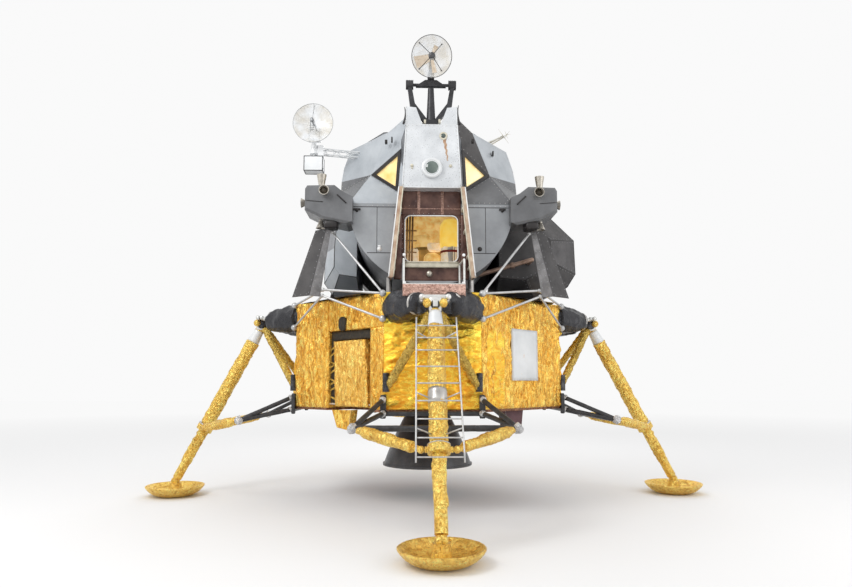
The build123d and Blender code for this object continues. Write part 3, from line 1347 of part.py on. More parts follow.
LIGHT_Z = CABIN_Z + 495.0
with BuildPart() as tracking_light:
    with BuildSketch(Plane.XZ.offset(PANEL_FRONT)):
        with Locations((0, LIGHT_Z)):
            Circle(150)
    extrude(amount=26)
    with BuildSketch(Plane.XZ.offset(PANEL_FRONT + 26)):
        with Locations((0, LIGHT_Z)):
            Circle(104)
            Circle(86, mode=Mode.SUBTRACT)
    extrude(amount=22)
finish(tracking_light, "tracking_light")
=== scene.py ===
"""Two-stage lunar lander: foil, skin panels, fittings and finishes around the fixed frame.

Everything is in metres in the frame of the loaded model: +Z up, -Y the front, +X to the right
of someone who faces the front, origin on the ground under the centre line.
"""

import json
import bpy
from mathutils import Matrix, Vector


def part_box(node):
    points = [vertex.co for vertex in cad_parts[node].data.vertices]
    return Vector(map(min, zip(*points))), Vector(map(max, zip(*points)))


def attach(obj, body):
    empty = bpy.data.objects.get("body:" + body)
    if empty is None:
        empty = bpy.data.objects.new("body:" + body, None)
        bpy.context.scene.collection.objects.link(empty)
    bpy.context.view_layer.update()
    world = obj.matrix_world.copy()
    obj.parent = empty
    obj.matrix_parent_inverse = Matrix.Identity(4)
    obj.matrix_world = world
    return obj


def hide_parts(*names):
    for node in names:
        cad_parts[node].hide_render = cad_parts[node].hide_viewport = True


bl_info = {
    "name": "Lunar lander looks",
    "version": (1, 0, 0),
    "blender": (4, 5, 0),
    "location": "View3D > Sidebar > Lander",
    "description": "Foil blankets, skin panels, fittings and finishes of a two-stage lunar lander",
    "category": "Object",
}

from math import cos, pi, radians, sin, sqrt

import bmesh
import bpy
import numpy as np
from mathutils import Vector

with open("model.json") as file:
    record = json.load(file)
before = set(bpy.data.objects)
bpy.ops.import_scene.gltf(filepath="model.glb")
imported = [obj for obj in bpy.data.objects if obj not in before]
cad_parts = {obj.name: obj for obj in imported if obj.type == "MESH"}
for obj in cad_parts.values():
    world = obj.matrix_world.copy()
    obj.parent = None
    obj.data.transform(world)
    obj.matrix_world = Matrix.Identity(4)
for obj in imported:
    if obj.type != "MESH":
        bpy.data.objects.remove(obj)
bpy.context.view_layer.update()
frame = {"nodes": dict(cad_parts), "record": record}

# ---------------------------------------------------------------- shared sizes, in metres
BODY_HALF = 2.1463  # half the distance across the leg faces
FACE_HALF = 0.6858  # half the width of a leg face
BODY_LOW = 1.500  # underside of the descent stage
BODY_HIGH = 3.151  # its deck
CORNER_MID = (BODY_HALF + FACE_HALF) / 2  # x and y of the middle of a quadrant's face
QUADRANT_HALF = (BODY_HALF - FACE_HALF) / sqrt(2)  # half the width of a quadrant's face
CABIN_Z = 4.550  # height of the cabin's centre line
CABIN_FRONT = -1.750  # y of the cabin's flat front
PANEL_FRONT = -1.935  # y of the panel above the hatch
HATCH_Z = 4.015  # height of the hatch's middle
APEX = np.array((0.0, -2.860, 2.880))  # front leg: top joint
BALL = np.array((0.0, -4.242, 0.238))  # its footpad's joint
LEG_WAY = (BALL - APEX) / np.linalg.norm(BALL - APEX)
KNUCKLE = APEX + LEG_WAY * 1.985  # where its side struts meet it
TRUSS_NODE = (1.050, -2.950, 1.300)  # right end of its truss
RADAR_PIVOT_Y = -1.600  # y of the radar's post and drums
LEG_TURNS = (0, 90, 180, 270)  # turn of each leg from the front one
FRONT, REAR, UP = (0.0, -1.0, 0.0), (0.0, 1.0, 0.0), (0.0, 0.0, 1.0)

# face name: turn about Z from the front
FACE_TURNS = {
    "front": 0,
    "front_right": 45,
    "right": 90,
    "rear_right": 135,
    "rear": 180,
    "rear_left": 225,
    "left": 270,
    "front_left": 315,
}


# ---------------------------------------------------------------- numbers
def unit(vector):
    """Vector divided by its length."""
    vector = np.asarray(vector, float)
    return vector / np.linalg.norm(vector, axis=-1, keepdims=True)


def turned(points, degrees_about_z):
    """Points turned about the vertical centre line."""
    a = radians(degrees_about_z)
    turn = np.array(((cos(a), -sin(a), 0), (sin(a), cos(a), 0), (0, 0, 1)))
    return np.asarray(points, float) @ turn.T


CELLS = 32  # cells along a side of a lattice, after which the noise repeats
SEED_SHIFT = 7.31  # keeps the seeds that share a lattice apart
OCTAVES = 4  # layers of creases
FINER, FAINTER = 0.53, 0.60  # width and height of a layer, as shares of the one before
WARP_WIDTH, WARP = 1.7, 0.45  # width and strength of the noise that bends the ridges
RIDGE, FULL = 2.2, 1.9  # steepness of a ridge, and the sum of layers that is a full crease


def lattice(seed):
    """Cube of seeded random numbers from -1 to 1 that the noise reads."""
    return np.random.default_rng(seed).uniform(-1.0, 1.0, (CELLS, CELLS, CELLS))


LATTICES = [lattice(seed) for seed in range(6)]


def noise(points, size, seed=0):
    """Smooth noise at points: eased trilinear mix of the eight lattice numbers round point / size."""
    q = np.asarray(points, float) / np.asarray(size, float) + SEED_SHIFT * (seed + 1)
    cell = np.floor(q).astype(int)
    f = q - cell
    f = f * f * (3 - 2 * f)
    table = LATTICES[seed % len(LATTICES)]
    total = 0.0
    for dx in (0, 1):
        for dy in (0, 1):
            for dz in (0, 1):
                weight = (
                    (f[..., 0] if dx else 1 - f[..., 0])
                    * (f[..., 1] if dy else 1 - f[..., 1])
                    * (f[..., 2] if dz else 1 - f[..., 2])
                )
                corner = (cell + (dx, dy, dz)) % CELLS
                total = total + weight * table[corner[..., 0], corner[..., 1], corner[..., 2]]
    return total


def creases(points, size, seed=0):
    """Crumpled film, 0 to 1: octaves of 1 - |noise|, warped by a wider noise, so ridges are sharp."""
    size = np.asarray(size, float)
    warp = noise(points, size * WARP_WIDTH, seed + 1)[..., None] * WARP * size
    total = np.zeros(np.shape(points)[:-1])
    for octave in range(OCTAVES):
        step = size * FINER**octave
        ridge = 1 - np.abs(noise(points + warp, step, seed + octave)) * RIDGE
        total += ridge * FAINTER**octave
    return np.clip(total / FULL, 0, 1)


# ---------------------------------------------------------------- surfaces
def patch(corners, step=0.014, depth=0.0, size=(0.1, 0.1, 0.1), seed=0, lift=0.004, tuck=0.012, edge=0.05):
    """Sheet over four corners (low left, low right, high right, high left, seen from outside).

    A point is the bilinear mix of the corners, moved along the normal by
    lift + depth times the creases, which fade towards the edges,
    and the outermost ring is tucked behind the surface.
    """
    a, b, c, d = [np.asarray(p, float) for p in corners]
    wide = max(np.linalg.norm(b - a), np.linalg.norm(c - d))
    tall = max(np.linalg.norm(d - a), np.linalg.norm(c - b))
    columns, rows = max(int(wide / step), 2) + 1, max(int(tall / step), 2) + 1
    u, v = np.meshgrid(np.linspace(0, 1, columns), np.linspace(0, 1, rows))
    u3, v3 = u[..., None], v[..., None]
    points = (a * (1 - u3) + b * u3) * (1 - v3) + (d * (1 - u3) + c * u3) * v3
    normal = unit(np.cross(b - a + c - d, d - a + c - b))
    out = np.full_like(u, lift)
    if depth:
        local = np.stack([u * wide, v * tall, np.zeros_like(u)], -1)
        near = np.minimum(np.minimum(u, 1 - u) * wide, np.minimum(v, 1 - v) * tall)
        fade = 0.25 + 0.75 * np.clip(near / edge, 0, 1)
        out = out + depth * fade * creases(local, size, seed)
    points = points + out[..., None] * normal
    ring = np.pad(points, ((1, 1), (1, 1), (0, 0)), mode="edge")
    border = np.ones(ring.shape[:2], bool)
    border[1:-1, 1:-1] = False
    ring[border] -= normal * (tuck + lift)
    return ring, False


def sweep(path, radii, around=12, depth=0.0, size=(0.05, 0.05, 0.05), seed=0, caps=True, aspect=1.0):
    """Tube: circles of the given radii across a path, each point moved out by depth times creases."""
    path = np.asarray(path, float)
    radii = np.broadcast_to(np.asarray(radii, float), len(path))
    ahead = unit(np.gradient(path, axis=0))
    lined_up = np.abs(ahead).max(0) > 0.9
    guide = np.eye(3)[2 if not lined_up[2] else 0 if not lined_up[0] else 1]
    side = unit(np.cross(ahead, guide))
    up = np.cross(ahead, side)
    angle = np.arange(around) * 2 * pi / around
    over, beside = np.cos(angle)[None, :, None], aspect * np.sin(angle)[None, :, None]
    ring = side[:, None] * over + up[:, None] * beside
    reach = np.repeat(radii[:, None], around, 1)
    if depth:
        along = np.concatenate([[0], np.cumsum(np.linalg.norm(np.diff(path, axis=0), axis=1))])
        x, y = np.cos(angle)[None, :] * reach * 1.5, np.sin(angle)[None, :] * reach * 1.5
        local = np.stack([x, y, np.repeat(along[:, None], around, 1)], -1)
        reach = reach + depth * creases(local, size, seed)
    points = path[:, None] + ring * reach[..., None]
    if caps:
        first, last = np.repeat(path[:1, None], around, 1), np.repeat(path[-1:, None], around, 1)
        points = np.concatenate([first, points, last])
    return points, True


def rod(start, end, radius, around=10, rows=2):
    """Straight closed tube between two points."""
    share = np.linspace(0, 1, rows)[:, None]
    return sweep(np.asarray(start, float) * (1 - share) + np.asarray(end, float) * share, radius, around)


def revolved(profile, centre, axis, around=32, depth=0.0, size=(0.05, 0.05, 0.05), seed=0):
    """Surface of revolution: (radius, height) pairs turned about an axis, radius crumpled by depth."""
    profile = np.asarray(profile, float)
    axis = unit(axis)
    guide = np.array((1.0, 0, 0)) if abs(axis[0]) < 0.9 else np.array((0, 1.0, 0))
    side = unit(np.cross(axis, guide))
    up = np.cross(axis, side)
    angle = np.arange(around) * 2 * pi / around
    ring = side * np.cos(angle)[:, None] + up * np.sin(angle)[:, None]
    reach = np.repeat(profile[:, 0][:, None], around, 1)
    points = np.asarray(centre, float) + ring[None] * reach[..., None] + axis * profile[:, 1][:, None, None]
    if depth:
        swell = depth * (creases(points, size, seed) - 0.5) * (reach > 0.01)
        points = points + ring[None] * swell[..., None]
    return points, True


def rounded(centre, half, axes=None, power=0.22, rows=9, columns=20):
    """Closed block with soft edges: a superellipsoid, its sines and cosines raised to a power."""
    axes = np.eye(3) if axes is None else np.asarray([unit(a) for a in axes])
    turn = np.arange(columns) * 2 * pi / columns + pi / columns
    v, u = np.meshgrid(np.linspace(-pi / 2, pi / 2, rows), turn, indexing="ij")

    def bent(x):
        return np.sign(x) * np.abs(x) ** power

    flat = bent(np.cos(v))
    shape = np.stack([flat * bent(np.cos(u)), flat * bent(np.sin(u)), bent(np.sin(v))], -1)
    return np.asarray(centre, float) + (shape * np.asarray(half, float)) @ axes, True


def ball(centre, radius, rows=9, columns=16):
    """Closed sphere of rings between two poles."""
    return rounded(centre, (radius, radius, radius), power=1.0, rows=rows, columns=columns)


def polyline(points, step):
    """Points spaced by about a step along straight runs."""
    points = np.asarray(points, float)
    out = [points[:1]]
    for start, end in zip(points[:-1], points[1:]):
        count = max(int(np.linalg.norm(end - start) / step), 1)
        share = np.arange(1, count + 1)[:, None] / count
        out.append(start * (1 - share) + end * share)
    return np.concatenate(out)


def on_face(face, s, z, out=0.0):
    """Point on a side of the descent stage: s to the right of its middle, height z, out from it."""
    turn = FACE_TURNS[face]
    reach = BODY_HALF if turn % 90 == 0 else CORNER_MID * sqrt(2)
    return turned((s, -reach - out, z), turn)


def face_corners(face, s0, s1, z0, z1, out=0.0):
    """Corners of a rectangle on a side of the descent stage."""
    return [on_face(face, s, z, out) for s, z in ((s0, z0), (s1, z0), (s1, z1), (s0, z1))]


# ---------------------------------------------------------------- meshes
def grid_faces(rows, columns, wrap=False, start=0):
    """Corner numbers of the quads of a grid, whose last column may join the first."""
    r, c = np.meshgrid(np.arange(rows - 1), np.arange(columns if wrap else columns - 1), indexing="ij")
    r2, c2 = r + 1, (c + 1) % columns
    quads = np.stack([r * columns + c, r * columns + c2, r2 * columns + c2, r2 * columns + c], -1)
    return start + quads.reshape(-1, 4)


def fill_mesh(name, verts, faces, kinds, finishes, smooth, weld):
    """Mesh object from arrays of points and equal-sided faces, with doubles merged where asked."""
    if not np.isfinite(verts).all():
        raise ValueError(f"{name}: a point isn't a number")
    mesh = bpy.data.meshes.new(name)
    sides = faces.shape[1]
    mesh.vertices.add(len(verts))
    mesh.vertices.foreach_set("co", verts.astype(np.float32).ravel())
    mesh.loops.add(faces.size)
    mesh.loops.foreach_set("vertex_index", faces.astype(np.int32).ravel())
    mesh.polygons.add(len(faces))
    mesh.polygons.foreach_set("loop_start", np.arange(0, faces.size, sides, dtype=np.int32))
    mesh.polygons.foreach_set("material_index", kinds.astype(np.int32))
    mesh.polygons.foreach_set("use_smooth", np.full(len(faces), smooth))
    for finish in finishes:
        mesh.materials.append(FINISHES[finish])
    mesh.update(calc_edges=True)
    mesh.validate()
    if weld:
        work = bmesh.new()
        work.from_mesh(mesh)
        bmesh.ops.remove_doubles(work, verts=work.verts, dist=1e-5)
        work.to_mesh(mesh)
        work.free()
    piece = bpy.data.objects.new(name, mesh)
    bpy.context.scene.collection.objects.link(piece)
    return piece


def settle(piece, body="lander"):
    """The piece rides on its body."""
    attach(piece, body)
    return piece


def make_piece(name, grids, finishes, body="lander", replaces=(), smooth=True, weld=True):
    """One piece from grids, each (points, whether its columns wrap) and an optional finish number."""
    verts, faces, kinds, start = [], [], [], 0
    for grid in grids:
        points, wrap, *number = grid
        quads = grid_faces(*points.shape[:2], wrap, start)
        verts.append(points.reshape(-1, 3))
        faces.append(quads)
        kinds.append(np.full(len(quads), number[0] if number else 0))
        start += points.shape[0] * points.shape[1]
    arrays = (np.concatenate(parts) for parts in (verts, faces, kinds))
    piece = settle(fill_mesh(name, *arrays, finishes, smooth, weld), body)
    if replaces:
        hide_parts(*replaces)
    return piece


def painted(grid, number):
    """The grid with the number of its finish."""
    return (*grid[:2], number)


def on_each_leg(grids):
    """Grids of the front leg, turned to all four legs."""
    return [(turned(g[0], turn), *g[1:]) for turn in LEG_TURNS for g in grids]


# ---------------------------------------------------------------- finishes
FOIL_BUMP = 0.8
SKIN_BUMP = 0.12


def add_node(tree, kind, **values):
    """A shader node with its options and input values set by name."""
    node = tree.nodes.new(kind)
    for key, value in values.items():
        if key in node.inputs:
            node.inputs[key].default_value = value
        else:
            setattr(node, key, value)
    return node


def feed(output, node, socket):
    """Links an output to the input of that name."""
    node.id_data.links.new(output, node.inputs[socket])


def new_finish(name, colour, rough, metallic):
    """Material with a Principled shader; gives its tree and shader."""
    material = bpy.data.materials.new(name)
    material.use_nodes = True
    material.diffuse_color = (*colour[:3], 1.0)
    tree = material.node_tree
    shader = tree.nodes["Principled BSDF"]
    shader.inputs["Base Color"].default_value = (*colour[:3], 1.0)
    shader.inputs["Roughness"].default_value = rough
    shader.inputs["Metallic"].default_value = metallic
    return material, tree, shader


def place(tree, stretch=(1, 1, 1)):
    """Object coordinates, stretched."""
    source = add_node(tree, "ShaderNodeTexCoord")
    mapping = add_node(tree, "ShaderNodeMapping", Scale=stretch)
    feed(source.outputs["Object"], mapping, "Vector")
    return mapping.outputs["Vector"]


def ramp(tree, factor, stops):
    """Colour ramp over a factor: stops are (position, colour)."""
    node = add_node(tree, "ShaderNodeValToRGB")
    elements = node.color_ramp.elements
    while len(elements) < len(stops):
        elements.new(0.5)
    for element, (position, colour) in zip(elements, stops):
        element.position = position
        element.color = (*colour[:3], 1.0)
    feed(factor, node, "Fac")
    return node.outputs["Color"]


def spread(tree, factor, low, high, start=0.3, end=0.7):
    """Map Range of a factor onto low..high."""
    span = {"From Min": start, "From Max": end, "To Min": low, "To Max": high}
    node = add_node(tree, "ShaderNodeMapRange", **span)
    feed(factor, node, "Value")
    return node.outputs["Result"]


def foil_finish(name, bright, middle, dark, size, rough, metallic, stretch=(1, 1, 1), fall=0.0):
    """Crinkled metallised film: clouds that darken downwards by the share fall, streaks painted with highlight and
    shade, and creases edged with painted highlights.
    """
    material, tree, shader = new_finish(name, middle, rough, metallic)
    at = place(tree, stretch)
    broad = add_node(tree, "ShaderNodeTexNoise", Scale=0.22 / size, Detail=4.0, Roughness=0.55, Distortion=0.4)
    streak = add_node(tree, "ShaderNodeTexNoise", Scale=1.7 / size, Detail=9.0, Roughness=0.68, Distortion=1.6)
    cells = add_node(tree, "ShaderNodeTexVoronoi", feature="DISTANCE_TO_EDGE", Scale=1.1 / size)
    fine = add_node(tree, "ShaderNodeTexVoronoi", feature="DISTANCE_TO_EDGE", Scale=3.6 / size)
    bend = add_node(tree, "ShaderNodeMixRGB", blend_type="LINEAR_LIGHT", Fac=0.05)
    feed(at, broad, "Vector")
    feed(at, streak, "Vector")
    feed(at, bend, "Color1")
    feed(streak.outputs["Color"], bend, "Color2")
    feed(bend.outputs["Color"], cells, "Vector")
    feed(bend.outputs["Color"], fine, "Vector")
    split = add_node(tree, "ShaderNodeSeparateXYZ")
    feed(place(tree), split, "Vector")
    height = spread(tree, split.outputs["Z"], 0.34, 0.62, BODY_LOW, 3.0)
    level = add_node(tree, "ShaderNodeMixRGB", blend_type="MIX", Fac=fall)
    feed(broad.outputs["Fac"], level, "Color1")
    feed(height, level, "Color2")
    tone = ramp(tree, level.outputs["Color"], ((0.34, dark), (0.45, middle), (0.58, bright)))
    # light: the bright colour lifted further, the painted highlight of ridges and crease lines
    light = [min(1.0, c * 1.25 + 0.06) for c in bright]
    # painted shade and painted highlight over the streak noise: dark in the hollows of the crinkles, light on their
    # ridges
    crinkle = ramp(tree, streak.outputs["Fac"], ((0.40, dark), (0.46, middle), (0.54, bright), (0.61, light)))
    blend = add_node(tree, "ShaderNodeMixRGB", blend_type="MIX", Fac=0.72 - 0.35 * fall)
    feed(tone, blend, "Color1")
    feed(crinkle, blend, "Color2")
    # painted highlight along the edges of the fine crease cells
    line = ramp(tree, fine.outputs["Distance"], ((0.0, (0.55, 0.55, 0.55)), (0.07, (0.0, 0.0, 0.0))))
    crease_highlight_mix = add_node(tree, "ShaderNodeMixRGB", blend_type="MIX", Color2=(*light, 1.0))
    feed(line, crease_highlight_mix, "Fac")
    feed(blend.outputs["Color"], crease_highlight_mix, "Color1")
    feed(crease_highlight_mix.outputs["Color"], shader, "Base Color")
    feed(spread(tree, streak.outputs["Fac"], rough + 0.14, rough - 0.10), shader, "Roughness")
    big = add_node(tree, "ShaderNodeBump", Strength=FOIL_BUMP, Distance=0.03)
    small = add_node(tree, "ShaderNodeBump", Strength=FOIL_BUMP * 0.7, Distance=0.012)
    ripple = add_node(tree, "ShaderNodeBump", Strength=FOIL_BUMP * 0.8, Distance=0.02)
    feed(cells.outputs["Distance"], big, "Height")
    feed(fine.outputs["Distance"], small, "Height")
    feed(streak.outputs["Fac"], ripple, "Height")
    feed(big.outputs["Normal"], small, "Normal")
    feed(small.outputs["Normal"], ripple, "Normal")
    feed(ripple.outputs["Normal"], shader, "Normal")
    return material


def skin_finish(name, light, dark, rough, metallic, size, painted_glow=0.0):
    """Thin metal skin: soft cloudy tone, faint streaks and a slightly uneven surface; where it has a glow, the tone is
    given off as painted light.
    """
    material, tree, shader = new_finish(name, light, rough, metallic)
    at = place(tree)
    cloud = add_node(tree, "ShaderNodeTexNoise", Scale=1.0 / size, Detail=6.0, Roughness=0.58)
    grain = add_node(tree, "ShaderNodeTexNoise", Scale=14.0 / size, Detail=3.0)
    wave = add_node(tree, "ShaderNodeTexNoise", Scale=2.2 / size, Detail=2.0)
    for texture in (cloud, grain, wave):
        feed(at, texture, "Vector")
    tone = ramp(tree, cloud.outputs["Fac"], ((0.32, dark), (0.68, light)))
    feed(tone, shader, "Base Color")
    feed(spread(tree, grain.outputs["Fac"], rough - 0.08, rough + 0.12), shader, "Roughness")
    broad = add_node(tree, "ShaderNodeBump", Strength=SKIN_BUMP, Distance=0.03)
    close = add_node(tree, "ShaderNodeBump", Strength=SKIN_BUMP * 0.3, Distance=0.001)
    feed(wave.outputs["Fac"], broad, "Height")
    feed(grain.outputs["Fac"], close, "Height")
    feed(broad.outputs["Normal"], close, "Normal")
    feed(close.outputs["Normal"], shader, "Normal")
    # the glow is painted light: the part gives off its tone though it is no lamp
    if painted_glow:
        feed(tone, shader, "Emission Color")
        shader.inputs["Emission Strength"].default_value = painted_glow
    return material


def mesh_finish(name, colour, patchy, opacity):
    """Fine see-through mesh: a tight weave over an even part transparency, with a faint patchy tone."""
    material, tree, shader = new_finish(name, colour, 0.45, 0.2)
    at = place(tree)
    cloud = add_node(tree, "ShaderNodeTexNoise", Scale=6.0, Detail=3.0)
    weave = add_node(tree, "ShaderNodeTexWave", wave_type="BANDS", Scale=40.0)
    feed(at, cloud, "Vector")
    feed(at, weave, "Vector")
    feed(ramp(tree, cloud.outputs["Fac"], ((0.35, patchy), (0.65, colour))), shader, "Base Color")
    feed(spread(tree, weave.outputs["Fac"], opacity - 0.1, opacity + 0.1, 0.0, 1.0), shader, "Alpha")
    return material


FINISHES = {}

# finish: light, dark, roughness, metallic, size of the clouds, and glow where it has one, which is painted light
SKINS = (
    ("nozzle_dark", (0.11, 0.11, 0.115), (0.05, 0.05, 0.052), 0.38, 0.55, 0.3),
    ("titanium", (0.62, 0.60, 0.57), (0.42, 0.40, 0.38), 0.34, 0.9, 0.15),
    ("black_tube", (0.055, 0.055, 0.06), (0.02, 0.02, 0.022), 0.42, 0.2, 0.08),
    ("bare_aluminium", (0.80, 0.80, 0.78), (0.60, 0.60, 0.57), 0.33, 0.75, 0.1),
    ("grey_skin", (0.30, 0.31, 0.33), (0.20, 0.205, 0.215), 0.40, 0.45, 0.5),
    ("mid_skin", (0.185, 0.188, 0.195), (0.115, 0.117, 0.122), 0.40, 0.45, 0.4),
    ("keel_skin", (0.37, 0.385, 0.40), (0.25, 0.26, 0.275), 0.38, 0.5, 0.5),
    ("rod_metal", (0.58, 0.58, 0.58), (0.40, 0.40, 0.40), 0.36, 0.6, 0.1),
    ("pale_skin", (0.52, 0.55, 0.58), (0.38, 0.41, 0.44), 0.40, 0.4, 0.5),
    ("charcoal_skin", (0.085, 0.08, 0.08), (0.035, 0.033, 0.034), 0.46, 0.3, 0.5),
    ("black_frame", (0.030, 0.026, 0.026), (0.012, 0.010, 0.010), 0.4, 0.1, 0.2),
    ("white_paint", (0.78, 0.79, 0.80), (0.60, 0.62, 0.63), 0.38, 0.15, 0.5),
    ("silver_panel", (0.76, 0.78, 0.80), (0.58, 0.60, 0.62), 0.33, 0.4, 0.3),
    ("tan_rail", (0.62, 0.50, 0.37), (0.34, 0.20, 0.13), 0.5, 0.1, 0.12),
    ("bronze_tube", (0.42, 0.29, 0.22), (0.24, 0.15, 0.11), 0.4, 0.5, 0.1),
    # interior_grey, gold_inside, yellow_cover and cream_cloth glow: painted light on the cabin's inside
    ("interior_grey", (0.70, 0.50, 0.18), (0.40, 0.26, 0.08), 0.45, 0.3, 0.2, 0.10),
    ("gold_inside", (1.0, 0.76, 0.34), (0.66, 0.38, 0.08), 0.40, 0.3, 0.12, 0.48),
    ("yellow_cover", (1.0, 0.76, 0.17), (0.95, 0.58, 0.08), 0.5, 0.0, 0.12, 0.62),
    ("red_band", (0.42, 0.06, 0.05), (0.25, 0.03, 0.03), 0.5, 0.0, 0.1),
    ("thruster_metal", (0.66, 0.62, 0.54), (0.34, 0.31, 0.27), 0.32, 0.8, 0.06),
    ("beige_metal", (0.66, 0.62, 0.50), (0.44, 0.41, 0.33), 0.45, 0.2, 0.08),
    ("black_paint", (0.045, 0.045, 0.05), (0.018, 0.018, 0.02), 0.4, 0.15, 0.1),
    ("dish_white", (0.86, 0.87, 0.88), (0.70, 0.70, 0.69), 0.4, 0.1, 0.1),
    ("maroon_lining", (0.16, 0.085, 0.065), (0.055, 0.025, 0.022), 0.36, 0.35, 0.14),
    ("rust_mark", (0.50, 0.34, 0.22), (0.34, 0.19, 0.11), 0.6, 0.0, 0.05),
    ("cream_cloth", (0.98, 0.90, 0.74), (0.76, 0.58, 0.34), 0.7, 0.0, 0.08, 0.42),
    ("blade_tan", (0.72, 0.62, 0.50), (0.55, 0.45, 0.34), 0.5, 0.1, 0.06),
    ("grey_wire", (0.42, 0.43, 0.44), (0.24, 0.25, 0.26), 0.4, 0.6, 0.05),
    # gap_black: near black, painted shade in gaps, slots and nozzle mouths
    ("gap_black", (0.045, 0.032, 0.015), (0.008, 0.006, 0.004), 0.6, 0.0, 0.04),
    ("tank_dark", (0.115, 0.110, 0.112), (0.055, 0.052, 0.054), 0.44, 0.35, 0.35),
    ("deflector_edge", (0.24, 0.235, 0.24), (0.12, 0.118, 0.12), 0.40, 0.4, 0.12),
    ("puff_black", (0.042, 0.042, 0.047), (0.020, 0.020, 0.023), 0.30, 0.35, 0.30),
    ("maroon_block", (0.13, 0.06, 0.07), (0.06, 0.025, 0.03), 0.5, 0.1, 0.2),
)

LIGHTS = {name: light for name, light, *_ in SKINS}

# the quadrants' foil: bright, middle, dark; bright and dark are also its painted highlight and painted shade in the
# crinkles
GOLD = ((1.0, 0.62, 0.13), (0.88, 0.40, 0.04), (0.42, 0.14, 0.010))

# finish: bright, middle, dark, size of the creases, roughness, metallic, stretch, darkening downwards; bright and dark
# are also the painted highlight and painted shade of the crinkles
FOILS = (
    ("gold_foil", *GOLD, 0.13, 0.27, 0.88, (1, 1, 0.40)),
    ("front_foil", (1.0, 0.69, 0.075), (0.95, 0.47, 0.04), (0.74, 0.25, 0.020), 0.30, 0.30, 0.86, (0.6, 1, 1.3), 0.85),
    ("pack_foil", (1.0, 0.64, 0.16), (0.86, 0.42, 0.055), (0.36, 0.13, 0.012), 0.12, 0.28, 0.88, (1, 1, 0.45)),
    ("strut_foil", (1.0, 0.70, 0.18), (0.88, 0.48, 0.07), (0.38, 0.15, 0.018), 0.09, 0.28, 0.88, (1, 1, 0.8)),
    ("pad_foil", (1.0, 0.68, 0.18), (0.84, 0.48, 0.09), (0.42, 0.18, 0.03), 0.10, 0.32, 0.88),
    ("dark_shield", (0.30, 0.14, 0.07), (0.16, 0.07, 0.04), (0.05, 0.02, 0.015), 0.2, 0.34, 0.9),
    ("rust_foil", (0.62, 0.40, 0.33), (0.40, 0.23, 0.17), (0.16, 0.08, 0.06), 0.06, 0.36, 0.7),
    ("dull_foil", (0.92, 0.64, 0.16), (0.58, 0.34, 0.06), (0.13, 0.06, 0.01), 0.055, 0.30, 0.85),
    ("band_foil", (0.70, 0.46, 0.38), (0.46, 0.26, 0.20), (0.22, 0.10, 0.08), 0.10, 0.42, 0.5),
    ("silver_foil", (0.86, 0.86, 0.86), (0.55, 0.55, 0.56), (0.16, 0.16, 0.17), 0.05, 0.30, 0.8),
    ("black_blanket", (0.050, 0.050, 0.056), (0.022, 0.022, 0.025), (0.010, 0.010, 0.011), 0.24, 0.26, 0.4),
)

# finishes whose light colour is a setting: finish, property
CHOSEN = {"grey_skin": "grey", "pale_skin": "pale", "charcoal_skin": "charcoal", "silver_panel": "panel"}


def make_finishes(colours):
    """All finishes by name, the main ones in the colours of the settings."""
    for name, light, dark, *look in SKINS:
        if name in CHOSEN:
            share = [d / max(c, 1e-3) for c, d in zip(light, dark)]
            light = tuple(getattr(colours, CHOSEN[name]))
            dark = tuple(c * s for c, s in zip(light, share))
        FINISHES[name] = skin_finish(name, light, dark, *look)
    for name, bright, middle, dark, *look in FOILS:
        if name == "gold_foil":
            bright, middle, dark = map(tuple, (colours.foil_bright, colours.foil_middle, colours.foil_dark))
        FINISHES[name] = foil_finish(name, bright, middle, dark, *look)
    FINISHES["sheer_dish"] = mesh_finish("sheer_dish", (0.80, 0.82, 0.84), (0.60, 0.56, 0.48), 0.42)
    # window_glass gives off its clouded tone as painted light, standing for the lit cabin behind it; lamp_glass gives
    # off none
    for name, colour, inside, bright, painted_glow in (
        ("window_glass", (0.95, 0.75, 0.33), (0.72, 0.42, 0.08), (1.0, 0.86, 0.47), 0.42),
        ("lamp_glass", (0.10, 0.13, 0.12), (0.03, 0.05, 0.045), (0.16, 0.20, 0.18), 0.0),
    ):
        glass, tree, shader = new_finish(name, colour, 0.08, 0.0)
        cloud = add_node(tree, "ShaderNodeTexNoise", Scale=3.0, Detail=4.0)
        feed(place(tree), cloud, "Vector")
        tone = ramp(tree, cloud.outputs["Fac"], ((0.3, inside), (0.7, bright)))
        feed(tone, shader, "Base Color")
        feed(tone, shader, "Emission Color")
        shader.inputs["Emission Strength"].default_value = painted_glow
        shader.inputs["Coat Weight"].default_value = 0.6
        FINISHES[name] = glass


# ---------------------------------------------------------------- settings
def colour_setting(label, description, default):
    """Colour property with three channels."""
    return bpy.props.FloatVectorProperty(
        name=label, description=description, default=default, size=3, min=0.0, max=1.0, subtype="COLOR"
    )


class LanderColourSettings(bpy.types.PropertyGroup):
    """Colours of the main finishes."""

    # foil_bright is the foil where it catches the light; the dark colour is its dark tone and also the painted shade
    # in its creases
    foil_bright: colour_setting("Foil, bright", "Quadrant foil where it catches the light", GOLD[0])
    foil_middle: colour_setting("Foil, middle", "Quadrant foil between light and dark", GOLD[1])
    foil_dark: colour_setting("Foil, dark", "Quadrant foil in its creases", GOLD[2])
    grey: colour_setting("Grey skin", "Skin panels of the cabin and the midsection", LIGHTS["grey_skin"])
    pale: colour_setting("Pale skin", "Lighter skin panels", LIGHTS["pale_skin"])
    charcoal: colour_setting("Charcoal skin", "Dark skin panels", LIGHTS["charcoal_skin"])
    panel: colour_setting("Front panel", "Panel above the hatch", LIGHTS["silver_panel"])


